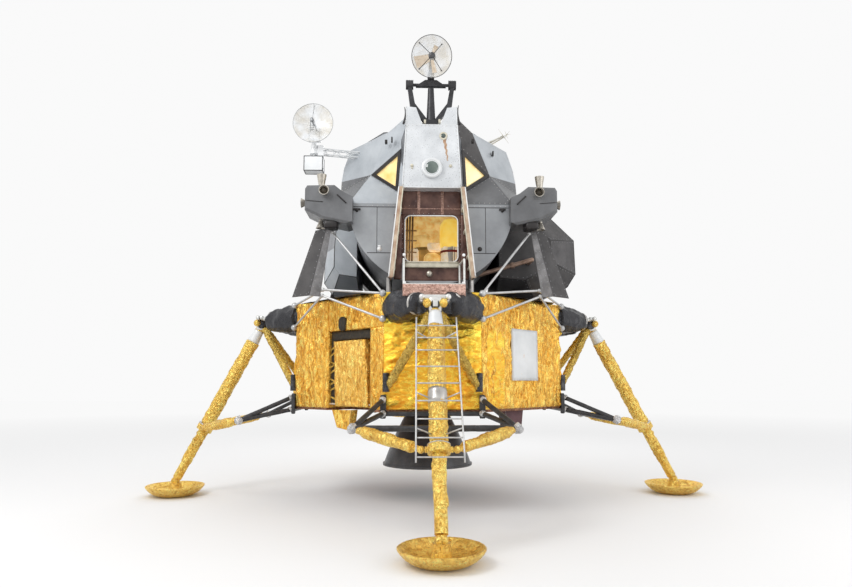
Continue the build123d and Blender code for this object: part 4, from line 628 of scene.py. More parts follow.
class LanderFoilSettings(bpy.types.PropertyGroup):
    """Sizes of the foil blankets."""

    step: bpy.props.FloatProperty(
        name="Grid step", description="Spacing of the foil's points", default=0.015, min=0.008, unit="LENGTH"
    )
    depth: bpy.props.FloatProperty(
        name="Crinkle depth", description="Height of the creases on the quadrants", default=0.045, unit="LENGTH"
    )
    across: bpy.props.FloatProperty(
        name="Wrinkle width", description="Width of the upright wrinkles", default=0.12, unit="LENGTH"
    )
    tall: bpy.props.FloatProperty(
        name="Wrinkle height", description="Height of the upright wrinkles", default=0.42, unit="LENGTH"
    )
    strut_depth: bpy.props.FloatProperty(
        name="Strut crinkle", description="Height of the creases on the leg struts", default=0.020, unit="LENGTH"
    )


class LanderStageSettings(bpy.types.PropertyGroup):
    """Studio light."""

    background: bpy.props.FloatProperty(
        name="Background", description="Brightness of the studio background", default=0.955, min=0.0
    )
    lamp_power: bpy.props.FloatProperty(
        name="Key light", description="Power of the large key light", default=420.0, subtype="POWER", min=0.0
    )


# ---------------------------------------------------------------- descent stage
QUADRANT_FACES = ("front_left", "front_right", "rear_left", "rear_right")
BAY = (-0.210, 0.760, 2.665, 0.460)  # recess in the front left quadrant: left, right, top, depth


def quadrant_sheets(face, foil, seed):
    """Crumpled sheets of a quadrant, left open where the equipment recess is."""
    look = dict(step=foil.step, depth=foil.depth, size=(foil.across, foil.tall, 1.0), seed=seed)
    w, low, high = QUADRANT_HALF, BODY_LOW, BODY_HIGH
    if face != "front_left":
        return [patch(face_corners(face, -w, w, low, high), **look)]
    return [
        patch(face_corners(face, -w, BAY[0], low, high), **look),
        patch(face_corners(face, BAY[0], w, BAY[2], high), **look),
        patch(face_corners(face, BAY[1], w, low, BAY[2]), **look),
    ]


def recess_walls():
    """Foil on the walls of the equipment recess."""
    left, right, high, deep = BAY
    low = BODY_LOW
    f = "front_left"
    look = dict(step=0.02, depth=0.012, size=(0.12, 0.12, 0.12), lift=0.003, tuck=0.004)
    back = [on_face(f, s, z, -deep) for s, z in ((left, low), (right, low), (right, high), (left, high))]
    port = [on_face(f, left, z, d) for d, z in ((0, low), (-deep, low), (-deep, high), (0, high))]
    board = [on_face(f, right, z, d) for d, z in ((-deep, low), (0, low), (0, high), (-deep, high))]
    roof = [on_face(f, s, high, d) for s, d in ((left, -deep), (right, -deep), (right, 0), (left, 0))]
    return [patch(wall, seed=n, **look) for n, wall in enumerate((back, port, board, roof))]


def deck_sheet(step):
    """Crumpled deck: rings that shrink from the octagon's outline to the middle."""
    corner = np.array([turned((FACE_HALF, -BODY_HALF, BODY_HIGH), 45 * n) for n in range(8)])
    outline = polyline(np.concatenate([corner, corner[:1]]), step * 3)[:-1]
    share = np.linspace(1.0, 0.0, 46)[:, None, None]
    centre = np.array((0, 0, BODY_HIGH))
    points = centre + (outline[None] - centre) * share
    rise = 0.003 + 0.028 * creases(points, (0.22, 0.22, 0.22), 3) * np.clip((1 - share[..., 0]) * 30, 0, 1)
    points[..., 2] += rise
    return points, True


class LANDER_OT_quadrant_foil(bpy.types.Operator):
    """Amber foil blankets with upright wrinkles on the four quadrants and in the equipment recess"""

    bl_idname = "lander.quadrant_foil"
    bl_label = "Quadrant foil"

    def execute(self, context):
        foil = context.scene.lander_foil
        for number, face in enumerate(QUADRANT_FACES):
            make_piece(f"foil_{face}", quadrant_sheets(face, foil, number), ["gold_foil"], weld=False)
        make_piece("foil_recess", recess_walls(), ["gold_foil"], weld=False)
        return {"FINISHED"}


class LANDER_OT_leg_face_foil(bpy.types.Operator):
    """Loose bright foil with large folds on the four leg faces, and the dark blanket on the deck"""

    bl_idname = "lander.leg_face_foil"
    bl_label = "Leg face foil"

    def execute(self, context):
        foil = context.scene.lander_foil
        for number, face in enumerate(("front", "right", "rear", "left")):
            corners = face_corners(face, -FACE_HALF, FACE_HALF, BODY_LOW, BODY_HIGH)
            look = dict(depth=0.080, size=(0.50, 0.30, 1.0), seed=number + 2, edge=0.10)
            make_piece(f"foil_{face}", [patch(corners, step=foil.step, **look)], ["front_foil"], weld=False)
        make_piece("foil_deck", [deck_sheet(foil.step)], ["black_blanket"])
        return {"FINISHED"}


class LANDER_OT_equipment_cover(bpy.types.Operator):
    """Foil wrapped round the folding equipment package"""

    bl_idname = "lander.equipment_cover"
    bl_label = "Equipment cover"

    def execute(self, context):
        f = "front_left"
        front = ((-0.035, 1.53), (0.690, 1.53), (0.610, 2.50), (-0.080, 2.50))
        d0, d1 = -0.008, -0.330
        a, b, c, d = [on_face(f, s, z, d0) for s, z in front]
        e, g, h, k = [on_face(f, s, z, d1) for s, z in front]
        look = dict(step=0.014, lift=0.002, tuck=0.006)
        sides = [
            patch((a, b, c, d), depth=0.030, size=(0.22, 0.30, 1.0), seed=4, edge=0.03, **look),
            patch((e, a, d, k), depth=0.016, size=(0.12, 0.3, 1.0), seed=1, **look),
            patch((b, g, h, c), depth=0.016, size=(0.12, 0.3, 1.0), seed=2, **look),
            patch((d, c, h, k), depth=0.016, size=(0.12, 0.12, 1.0), seed=3, **look),
        ]
        make_piece("equipment_foil", sides, ["pack_foil"], body="equipment_pallet", weld=False)
        return {"FINISHED"}


class LANDER_OT_body_details(bpy.types.Operator):
    """Blank plate, foil strip, and the foil wedge and dark block that hang under the descent stage"""

    bl_idname = "lander.body_details"
    bl_label = "Body details"

    def execute(self, context):
        plate = face_corners("front_right", -0.34, 0.32, 1.91, 2.68, 0.048)
        strip = face_corners("front_right", -0.94, -0.51, 1.52, 2.63, 0.030)
        make_piece(
            "face_panels",
            [
                painted(patch(strip, 0.02, 0.012, (0.3, 0.5, 1.0), 5, lift=0.0, tuck=0.02), 1),
                painted(patch(plate, 0.06, 0.0, lift=0.0, tuck=0.03), 0),
            ],
            ["white_paint", "front_foil"],
        )
        wedge = [(-1.50, -1.22, 1.468), (-1.20, -1.36, 1.468), (-1.24, -1.34, 1.165), (-1.42, -1.26, 1.205)]
        block = [(1.13, -1.40, 1.468), (1.43, -1.24, 1.468), (1.40, -1.25, 1.205), (1.18, -1.36, 1.170)]
        grids = []
        for number, (a, b, c, d) in enumerate(np.array((wedge, block))):
            back = np.array((0.09 if a[0] < 0 else -0.09, 0.16, 0.0))
            sides = (d + back, d, a, a + back), (c, c + back, b + back, b), (d + back, c + back, c, d)
            for quad in ((d, c, b, a), *sides):
                sheet = patch(quad, 0.02, 0.008, (0.06, 0.06, 0.06), number, lift=0.0, tuck=0.0)
                grids.append(painted(sheet, number))
        make_piece("hanging_blocks", grids, ["gold_foil", "maroon_block"])
        return {"FINISHED"}


# ---------------------------------------------------------------- landing gear
def along(start, end, near, far, rows):
    """Points between two distances from the start towards the end."""
    start, end = np.asarray(start, float), np.asarray(end, float)
    way = unit(end - start)
    return start + way * np.linspace(near, far, rows)[:, None]


class LANDER_OT_strut_foil(bpy.types.Operator):
    """Crumpled foil sleeves on the leg struts, with a white taper and metal bands"""

    bl_idname = "lander.strut_foil"
    bl_label = "Strut foil"

    def execute(self, context):
        depth = context.scene.lander_foil.strut_depth
        crinkle = dict(around=40, depth=depth, size=(0.10, 0.10, 0.13))
        upper = sweep(along(APEX, BALL, 0.34, 1.90, 110), 0.099, seed=1, **crinkle)
        lower = sweep(along(APEX, BALL, 2.045, 2.63, 40), 0.075, seed=2, **crinkle)
        make_piece("strut_foil", on_each_leg([upper, lower]), ["strut_foil"])
        taper = sweep(along(APEX, BALL, 0.12, 0.345, 8), np.linspace(0.082, 0.103, 8), around=28)
        band_high = sweep(along(APEX, BALL, 1.23, 1.42, 6), (0.112, 0.117, 0.117, 0.117, 0.117, 0.112), around=32)
        band_low = sweep(along(APEX, BALL, 1.92, 1.945, 4), (0.118, 0.136, 0.136, 0.118), around=32)
        bands = [painted(g, n) for g, n in ((taper, 0), (band_low, 1))]
        pieces = on_each_leg(bands) + [painted(band_high, 1)]
        make_piece("strut_bands", pieces, ["white_paint", "titanium"])
        sleeves, swells = [], (0.060, 0.060, 0.071, 0.071, 0.045, 0.040)
        for side in (-1, 1):
            eye = np.array((side * 0.2063, KNUCKLE[1], KNUCKLE[2]))
            node = np.array((side, 1, 1)) * TRUSS_NODE
            run = np.linalg.norm(node - eye) - 0.0983
            path = along(eye, node, 0.13, run - 0.02, 52)
            radii = np.interp(np.linspace(0, 1, 52), (0, 0.34, 0.37, 0.86, 0.94, 1), swells)
            sleeves.append(sweep(path, radii, around=28, depth=0.012, size=(0.07, 0.07, 0.09), seed=3))
        make_piece("side_strut_foil", on_each_leg(sleeves), ["strut_foil"])
        return {"FINISHED"}


class LANDER_OT_pad_foil(bpy.types.Operator):
    """Crumpled foil skins over the dished footpads"""

    bl_idname = "lander.pad_foil"
    bl_label = "Pad foil"

    def execute(self, context):
        outside = ((0.237, 0.0005), (0.300, 0.019), (0.374, 0.056), (0.427, 0.102), (0.461, 0.147))
        inside = ((0.467, 0.163), (0.464, 0.172), (0.450, 0.174), (0.434, 0.160), (0.352, 0.092), (0.24, 0.052))
        profile = [*outside, *inside, (0.115, 0.056)]
        fine = polyline([(r, z, 0) for r, z in profile], 0.018)[:, :2]
        centre = (0.0, BALL[1], 0.0)
        pad = revolved(fine, centre, (0, 0, 1), around=120, depth=0.016, size=(0.07, 0.07, 0.05), seed=2)
        make_piece("pad_foil", on_each_leg([pad]), ["pad_foil"])
        return {"FINISHED"}


class LANDER_OT_outrigger_covers(bpy.types.Operator):
    """Puffy black blankets round the outrigger covers, their rings and the silver fittings"""

    bl_idname = "lander.outrigger_covers"
    bl_label = "Outrigger covers"

    def execute(self, context):
        puffs, rings = [], []
        for side in (-1, 1):
            base = np.array((side * 0.51, -2.125, 2.931))
            tip = np.array((side * 0.205, -2.69, 2.925))
            share = np.linspace(0, 1, 26)
            radii = 0.218 * (1 - share) + 0.128 * share + 0.020 * np.sin(pi * share) - 0.02 * (share > 0.97)
            path = base * (1 - share[:, None]) + tip * share[:, None]
            puffs.append(sweep(path, radii, around=48, depth=0.042, size=(0.30, 0.30, 0.34), seed=4 + side))
            ring_at = base * 0.10 + tip * 0.90
            rings.append(sweep(along(ring_at, tip, 0.0, 0.022, 4), (0.150, 0.158, 0.158, 0.150), around=36))
        make_piece("outrigger_puffs", on_each_leg(puffs), ["puff_black"])
        make_piece("outrigger_rings", on_each_leg(rings), ["titanium"])
        fittings = [
            rounded((0, -2.865, 2.985), (0.185, 0.050, 0.030)),
            rounded((0, -2.880, 2.880), (0.085, 0.075, 0.105), power=0.35),
            rounded((0, -2.955, 2.900), (0.032, 0.022, 0.050)),
            *[rod((x, -2.84, 2.97), (x * 1.25, -2.66, 2.95), 0.034, 14, 3) for x in (-0.15, 0.15)],
            *[ball((x, -2.90, 2.985), 0.042) for x in (-0.17, 0.17)],
        ]
        make_piece("apex_fittings", on_each_leg(fittings), ["bare_aluminium"])
        caps = [ball((x, -2.93, 2.90), 0.060) for x in (-0.105, 0.105)]
        make_piece("apex_foil", on_each_leg(caps), ["strut_foil"])
        return {"FINISHED"}


# ---------------------------------------------------------------- ascent stage skins
STUD_R, STUD_INSET = 0.0065, 0.028  # radius of a stud, and how far it is from its sheet's edge


def facet_skins(node_name, pick, lift):
    """Skins over the flat faces of a CAD node: its triangles moved out by the lift, sorted by finish.

    pick gets the normals and centres of all triangles and gives each a number, -1 for none.
    """
    mesh = frame["nodes"][node_name].data
    mesh.calc_loop_triangles()
    co = np.empty(len(mesh.vertices) * 3)
    mesh.vertices.foreach_get("co", co)
    tri = np.empty(len(mesh.loop_triangles) * 3, dtype=np.int32)
    mesh.loop_triangles.foreach_get("vertices", tri)
    corners = co.reshape(-1, 3)[tri.reshape(-1, 3)]
    cross = np.cross(corners[:, 1] - corners[:, 0], corners[:, 2] - corners[:, 0])
    keep = np.linalg.norm(cross, axis=1) > 1e-9
    corners, cross = corners[keep], cross[keep]
    normal = unit(cross)
    kind = pick(normal, corners.mean(1))
    corners, normal, kind = corners[kind >= 0], normal[kind >= 0], kind[kind >= 0]
    key = np.concatenate([corners.reshape(-1, 3).round(5), np.repeat(normal, 3, 0).round(2)], 1)
    _, first, index = np.unique(key, axis=0, return_index=True, return_inverse=True)
    verts = (corners + normal[:, None] * lift).reshape(-1, 3)[first]
    return verts, index.reshape(-1, 3), kind, np.repeat(normal, 3, 0)[first]


def free_edges(verts, faces, normals, shortest):
    """Free edges of sheets as point pairs, but not short ones or those where sheets meet almost flat."""
    edges = np.concatenate([faces[:, [0, 1]], faces[:, [1, 2]], faces[:, [2, 0]]])
    _, index, count = np.unique(np.sort(edges, axis=1), axis=0, return_inverse=True, return_counts=True)
    free = edges[count[index.ravel()] == 1]
    free = free[np.linalg.norm(verts[free[:, 1]] - verts[free[:, 0]], axis=1) > shortest]
    middle, way = verts[free].mean(1), normals[free[:, 0]]
    near = np.linalg.norm(middle[:, None] - middle[None], axis=2) < 0.012
    level = way @ way.T > 0.965
    return free[(near & level).sum(1) < 2]


def outline_studs(verts, faces, normals, pitch):
    """Places for studs beside the free edges of sheets: points and outward directions."""
    places, ways = [], []
    for a, b in free_edges(verts, faces, normals, 0.16):
        run = verts[b] - verts[a]
        length = np.linalg.norm(run)
        inward = np.cross(normals[a], run / length)
        number = max(int(length / pitch), 1)
        share = (np.arange(number) + 0.5)[:, None] / number
        places.append(verts[a] + run * share + inward * STUD_INSET)
        ways.append(np.repeat(normals[a][None], number, 0))
    return np.concatenate(places), np.concatenate(ways)


def studs(name, places, ways, radius, finish):
    """Low domes at many places, all one way or each its own: rings of eight points, as one mesh."""
    places = np.asarray(places, float)
    ways = np.broadcast_to(unit(ways), places.shape)
    guide = np.where(np.abs(ways[:, 2:3]) < 0.9, np.array((0, 0, 1.0)), np.array((1.0, 0, 0)))
    side = unit(np.cross(guide, ways))
    up = np.cross(ways, side)
    angle = np.arange(8) * pi / 4
    rings = ((1.0, -0.3), (0.85, 0.35), (0.0, 0.62))
    points = [
        places[:, None]
        + radius * reach * (side[:, None] * np.cos(angle)[:, None] + up[:, None] * np.sin(angle)[:, None])
        + ways[:, None] * radius * rise
        for reach, rise in rings
    ]
    points = np.stack(points, 1)
    count = len(places)
    one = grid_faces(len(rings), 8, True)
    faces = (np.arange(count)[:, None, None] * len(rings) * 8 + one[None]).reshape(-1, 4)
    dome = fill_mesh(name, points.reshape(-1, 3), faces, np.zeros(len(faces)), [finish], True, False)
    settle(dome)


def skin_piece(name, node_name, pick, finishes, lift=0.004, stud_finish="titanium", pitch=0.075):
    """Skins over a CAD node, with studs along their edges."""
    verts, faces, kind, normals = facet_skins(node_name, pick, lift)
    settle(fill_mesh(name, verts, faces, kind, finishes, False, False))
    places, ways = outline_studs(verts, faces, normals, pitch)
    studs(f"{name}_studs", places, ways, STUD_R, stud_finish)


def cabin_pick(normal, centre):
    """Finish number of each cabin facet.

    0 shoulder and left brow, 1 right brow, 2 cheek, 3 sill, 4 keel front, 5 side. The right brow is painted dark as
    the shaded copy of the left one, and the pale sill is a lit copy on the left only, the right one keeping the
    cheek's skin.
    """
    x, y, z = normal.T
    cx, cy, cz = centre.T
    kind = np.full(len(normal), -1)
    outward = x * cx > -0.02
    front = (y < -0.97) & (cy < CABIN_FRONT + 0.01)
    kind[front & (cz < CABIN_Z - 0.05)] = 4
    slant = (y < -0.2) & ~front & outward & (cy < -0.70)
    raised, cheek_z, shoulder_z = z > 0.12, 4.5, 5.1
    kind[slant & (cz > cheek_z)] = 2
    kind[slant & raised & (cz > shoulder_z)] = 0
    # right brow: painted shade, the same brow as the left one but dark
    kind[slant & raised & (np.abs(x) < 0.72) & (cz > shoulder_z + 0.1) & (cx > 0) & (cy < -1.35)] = 1
    # left sill only: painted light, pale where the right sill stays mid grey
    kind[slant & (cz > cheek_z) & (cz < shoulder_z) & (np.abs(cx) < 0.95) & (cx < 0) & (cy < -1.4)] = 3
    side = (np.abs(y) < 0.05) & outward & (cz > CABIN_Z + 0.01) & (np.abs(x) > 0.05) & (cy < -0.70)
    radial = x * cx + z * (cz - CABIN_Z) > 0.5
    kind[side & radial] = np.where(cz > shoulder_z + 0.05, 5, 2)[side & radial]
    return kind


class LANDER_OT_cabin_skins(bpy.types.Operator):
    """Skin panels with studs on the facets of the crew cabin"""

    bl_idname = "lander.cabin_skins"
    bl_label = "Cabin skins"

    def execute(self, context):
        # finishes by kind; charcoal for the right brow is painted shade, pale for the left sill painted light
        finishes = ["pale_skin", "charcoal_skin", "mid_skin", "pale_skin", "keel_skin", "grey_skin"]
        skin_piece("cabin_skins", "crew_compartment", cabin_pick, finishes)
        return {"FINISHED"}


# ---------------------------------------------------------------- front of the cabin
def rounded_outline(half_wide, half_tall, corner, each=7):
    """Closed outline of a rounded rectangle in a plane: quarter circles at the four corners, (n, 2)."""
    angle = np.linspace(0, pi / 2, each)
    runs = []
    for turn, sx, sz in ((0, 1, 1), (1, -1, 1), (2, -1, -1), (3, 1, -1)):
        a = angle + turn * pi / 2
        centre = np.array((sx * (half_wide - corner), sz * (half_tall - corner)))
        runs.append(centre + corner * np.stack([np.cos(a), np.sin(a)], -1))
    return np.concatenate(runs)


def frame_sheet(inner, outer, y, centre):
    """Flat frame that faces the front, between two outlines with as many points, centred at (x, z)."""
    rings = []
    for outline, depth in ((inner, y + 0.012), (inner, y), (outer, y), (outer, y + 0.012)):
        x, z = outline[:, 0] + centre[0], outline[:, 1] + centre[1]
        rings.append(np.stack([x, np.full_like(x, depth), z], -1))
    return np.array(rings)[::-1], True


def wall(x0, x1, z0, z1, y, **look):
    """Upright sheet that faces the front."""
    return patch([(x0, y, z0), (x1, y, z0), (x1, y, z1), (x0, y, z1)], **look)


def disc_front(x, y, z, radius, rise=0.012, around=28):
    """Round cap that faces the front, domed by the rise."""
    dome = [(radius * 0.9, rise * 0.3), (radius * 0.55, rise * 0.85), (0, rise)]
    return revolved([(radius * 0.98, -0.01), (radius, 0), *dome], (x, y, z), FRONT, around)


class LANDER_OT_front_panel_details(bpy.types.Operator):
    """Lights, knobs, fins, studs, edge strips and the brown run mark on the panel above the hatch"""

    bl_idname = "lander.front_panel_details"
    bl_label = "Front panel details"

    def execute(self, context):
        y, lamp_z = PANEL_FRONT, 5.045
        lamp_ring = [(0.150, -0.03), (0.157, 0.0), (0.150, 0.020), (0.118, 0.026), (0.104, 0.016), (0.100, -0.01)]
        make_piece("main_light_ring", [revolved(lamp_ring, (0, y - 0.026, lamp_z), FRONT, 56)], ["white_paint"])
        make_piece("main_light_glass", [disc_front(0, y - 0.040, lamp_z, 0.104, 0.030, 40)], ["lamp_glass"])
        small_x, small_z = 0.173, 5.545
        small_ring = [(0.060, -0.02), (0.062, 0.006), (0.050, 0.016), (0.036, 0.010)]
        small = [
            painted(revolved(small_ring, (small_x, y, small_z), FRONT, 32), 0),
            painted(disc_front(small_x, y - 0.004, small_z, 0.038, 0.012), 1),
        ]
        make_piece("small_light", small, ["beige_metal", "lamp_glass"])
        run_low, run_high = 5.16, 5.50
        points, wrap = wall(0.168, 0.232, run_low, run_high, y, step=0.012, lift=0.0015, tuck=0.003)
        fall = (run_high - points[..., 2]) / (run_high - run_low)
        middle = 0.188 + 0.050 * fall + 0.006 * np.sin(points[..., 2] * 70)
        points[..., 0] = middle + (points[..., 0] - 0.200) * (0.75 - 0.55 * fall)
        make_piece("light_run_mark", [(points, wrap)], ["rust_mark"], smooth=False)
        knob_at = (-0.296, 5.083, 0.026), (0.279, 5.082, 0.026), (-0.292, 5.045, 0.015)
        knobs = [disc_front(x, y, z, r, 0.03) for x, z, r in knob_at]
        blocks = [rounded((x, -1.845, z), (0.016, 0.02, 0.03)) for x, z in ((-0.10, 5.80), (0.12, 5.81))]
        make_piece("panel_knobs", knobs + blocks, ["beige_metal"])
        edges, narrow, wide, low = [], 0.383, 0.438, 4.752
        for side in (-1, 1):
            edges.append(rod((side * wide, y - 0.002, low), (side * narrow, y - 0.002, 5.715), 0.008, 8, 12))
            edges.append(rod((side * narrow, -1.872, 5.73), (side * narrow, -1.872, 6.025), 0.008, 8, 4))
        edges.append(rod((-wide, y - 0.002, low), (wide, y - 0.002, low), 0.007, 8, 12))
        edges.append(rod((-narrow, y + 0.004, 5.722), (narrow, y + 0.004, 5.722), 0.005, 8, 12))
        make_piece("panel_edges", edges, ["white_paint"])
        share = np.linspace(0.03, 0.97, 15)
        places = [(side * (0.424 - 0.053 * t), y, 4.76 + 0.95 * t) for side in (-1, 1) for t in share]
        places += [(x, y, 4.775) for x in np.linspace(-0.40, 0.40, 15)]
        places += [(x, y, 5.700) for x in np.linspace(-0.35, 0.35, 12)]
        studs("panel_studs", places, FRONT, STUD_R, "titanium")
        fins, foot_z, share = [], 5.76, np.linspace(0, 1, 14)
        for side, top_z in ((-1, 6.02), (1, 6.06)):
            x, z = side * (0.425 - 0.030 * np.sin(share * 2.6)), foot_z + (top_z - foot_z) * share
            path = np.stack([x, np.full_like(x, -1.86), z], -1)
            fins.append(sweep(path, 0.030 * np.sqrt(np.maximum(1 - share, 0.03)) + 0.004, around=10, aspect=0.5))
        make_piece("panel_fins", fins, ["black_frame"])
        return {"FINISHED"}


class LANDER_OT_hatch_recess(bpy.types.Operator):
    """Dark lining of the recess round the hatch, its strips, edge lip, sill and rail edges"""

    bl_idname = "lander.hatch_recess"
    bl_label = "Hatch recess"

    def execute(self, context):
        y, inner, outer = CABIN_FRONT, rounded_outline(0.405, 0.360, 0.095), rounded_outline(0.452, 0.366, 0.004)
        look = dict(step=0.03, depth=0.006, size=(0.3, 0.3, 1))
        lining = [
            frame_sheet(inner, outer, y - 0.0045, (0, HATCH_Z)),
            wall(-0.445, 0.445, 4.380, 4.752, y - 0.001, step=0.02, depth=0.010, size=(0.3, 0.3, 1), seed=3),
            wall(-0.560, -0.440, 3.40, 4.39, y - 0.0005, **look),
            wall(0.440, 0.560, 3.40, 4.39, y - 0.0005, **look),
            wall(-0.420, 0.420, 3.38, 3.66, y - 0.001, **look),
        ]
        make_piece("recess_lining", lining, ["maroon_lining"], weld=False)
        strips = [wall(x - 0.022, x + 0.022, 4.385, 4.745, y - 0.012, step=0.03, tuck=0.012) for x in (-0.190, 0.165)]
        strips.append(wall(-0.445, 0.445, 4.470, 4.482, y - 0.007, step=0.03, tuck=0.008))
        make_piece("recess_strips", strips, ["rust_foil"], weld=False)
        lip = rounded_outline(0.397, 0.352, 0.088)
        path = np.stack([lip[:, 0], np.full(len(lip), y - 0.015), lip[:, 1] + HATCH_Z], -1)
        path = np.concatenate([path, path[:1]])
        make_piece("hatch_lip", [sweep(path, 0.010, around=8, caps=False)], ["dish_white"])
        edges, inside = [], []
        for side in (-1, 1):
            for offset, rods in ((0.045, edges), (-0.024, inside)):
                low, high = (side * (0.584 + offset), -2.008, 3.40), (side * (0.447 + offset * 0.9), -2.008, 4.738)
                rods.append(rod(low, high, 0.009, 8, 20))
            for z in (3.55, 3.72, 4.10, 4.43):
                x = side * (0.447 + (4.744 - z) * 0.1056)
                inside.append(rounded((x - side * 0.02, -1.87, z), (0.018, 0.10, 0.022)))
        make_piece("rail_edges", edges, ["dish_white"])
        make_piece("rail_inner_edges", inside, ["beige_metal"])
        sill = rounded((0, -1.790, 3.612), (0.412, 0.036, 0.040))
        edge = rod((-0.40, -1.830, 3.648), (0.40, -1.830, 3.648), 0.010, 8, 12)
        make_piece("hatch_sill", [sill, edge], ["beige_metal"])
        make_piece("sill_knob", [ball((-0.034, -1.79, 3.482), 0.048)], ["thruster_metal"])
        return {"FINISHED"}


class LANDER_OT_cabin_fittings(bpy.types.Operator):
    """Seam strips, small knobs and brackets on the outside of the crew cabin"""

    bl_idname = "lander.cabin_fittings"
    bl_label = "Cabin fittings"

    def execute(self, context):
        y = CABIN_FRONT - 0.0015
        seams = []
        for side in (-1, 1):
            seams.append(rod((side * 0.46, y, 4.500), (side * 1.228, y, 4.500), 0.0065, 6, 10))
            seams.append(rod((side * 0.560, y, 3.800), (side * 0.960, y, 3.800), 0.0065, 6, 8))
            seams.append(rod((side * 0.815, y, 3.800), (side * 0.815, y, 4.495), 0.0050, 6, 8))
        make_piece("cabin_seams", seams, ["black_frame"])
        white = [disc_front(-0.777, y, 3.858, 0.036, 0.03), rounded((-0.777, y - 0.01, 3.90), (0.02, 0.014, 0.012))]
        make_piece("white_knob", white, ["dish_white"])
        dark = [
            disc_front(0.726, y, 3.865, 0.036, 0.03),
            rounded((-1.117, y - 0.012, 4.458), (0.055, 0.016, 0.014)),
            rounded((1.071, y - 0.012, 4.470), (0.050, 0.016, 0.014)),
            ball((-1.117, y - 0.012, 4.440), 0.024),
            ball((1.071, y - 0.012, 4.452), 0.024),
        ]
        make_piece("dark_knobs", dark, ["black_frame"])
        brow = [rounded(at, (0.020, 0.030, 0.030)) for at in ((-0.69, -1.655, 5.550), (0.64, -1.690, 5.565))]
        brow += [rounded(at, (0.012, 0.03, 0.04)) for at in ((-0.60, -1.720, 5.56), (1.02, -1.18, 5.56))]
        make_piece("brow_brackets", brow, ["black_frame"])
        return {"FINISHED"}


class LANDER_OT_cabin_inside(bpy.types.Operator):
    """Warm lining, posts, bags and the pack's cover, which show through the open hatch; the lining, bags and cover
    glow with painted light
    """

    bl_idname = "lander.cabin_inside"
    bl_label = "Inside of the cabin"

    def execute(self, context):
        rows, columns = 30, 44
        z, u = np.meshgrid(np.linspace(3.66, 5.10, rows), np.linspace(-1, 1, columns), indexing="ij")
        back_r, side_r = 1.13, 1.150
        half = np.sqrt(np.maximum(back_r**2 - (z - CABIN_Z) ** 2, 0.01))
        flat = np.stack([u * half, np.full_like(u, 0.600), z], -1)
        flat[..., 1] -= 0.03 * creases(flat, (0.3, 0.3, 0.3), 1)
        turn, run = np.linspace(radians(-50), radians(6), rows), np.linspace(0.60, -1.40, columns)
        angle, y = np.meshgrid(turn, run, indexing="ij")
        reach = side_r - 0.02 * creases(np.stack([angle, y, y], -1), (0.2, 0.3, 0.3), 2)
        right = np.stack([reach * np.cos(angle), y, CABIN_Z + reach * np.sin(angle)], -1)
        left = right[:, ::-1] * np.array((-1.0, 1.0, 1.0))
        walls = [(grid, False) for grid in (flat, right, left)]
        # the lining's finish glows: painted light inside the cabin
        make_piece("inner_wall", walls, ["gold_inside"], weld=False)
        bags = [
            rounded((-0.10, 0.10, 4.30), (0.20, 0.16, 0.20), power=0.45, rows=15, columns=28),
            rounded((-0.26, -0.45, 3.90), (0.10, 0.12, 0.25), power=0.4, rows=15, columns=28),
            rounded((0.06, -0.50, 3.86), (0.15, 0.10, 0.20), power=0.45, rows=15, columns=28),
            rounded((0.10, -0.52, 4.16), (0.12, 0.08, 0.08), power=0.45, rows=15, columns=28),
        ]
        soft = []
        for number, (points, wrap) in enumerate(bags):
            centre = points.mean((0, 1))
            away = unit(points - centre)
            away[[0, -1]] = away[[0, -1]].mean(1, keepdims=True)
            dents = 0.03 * creases(points, (0.1, 0.1, 0.1), number)
            soft.append(painted((points - away * dents[..., None], wrap), number % 2))
        # the bags' finishes glow: painted light
        make_piece("stowed_bags", soft, ["gold_inside", "cream_cloth"])
        posts = [rod((x, -0.62, 3.65), (x + 0.02, -0.60, 4.75), 0.017, 10, 4) for x in (-0.375, -0.330, -0.285)]
        posts += [rod((-0.40, -0.61, z), (-0.20, -0.59, z), 0.012, 8, 2) for z in (3.85, 4.05, 4.25, 4.42)]
        make_piece("inner_posts", posts, ["tan_rail"])
        stand = dict(centre=(0.345, -0.865, 0), axis=UP, around=40)
        puff = [(0.150, 4.06), (0.168, 4.09), (0.175, 4.18), (0.172, 4.32), (0.160, 4.44), (0.12, 4.52)]
        puff += [(0.05, 4.55), (0.001, 4.555)]
        cover = revolved(puff, **stand, depth=0.02, size=(0.08, 0.08, 0.08), seed=2)
        sides = [(0.152, 3.66), (0.155, 3.80), (0.153, 4.08)]
        skirt = revolved(sides, **stand, depth=0.01, size=(0.06, 0.06, 0.06), seed=1)
        band = revolved([(0.150, 3.975), (0.164, 3.98), (0.164, 4.010), (0.150, 4.015)], **stand)
        # the cover's yellow and cream finishes glow: painted light
        colours = ["yellow_cover", "cream_cloth", "red_band"]
        make_piece("pack_cover", [painted(cover, 0), painted(skirt, 1), painted(band, 2)], colours)
        return {"FINISHED"}


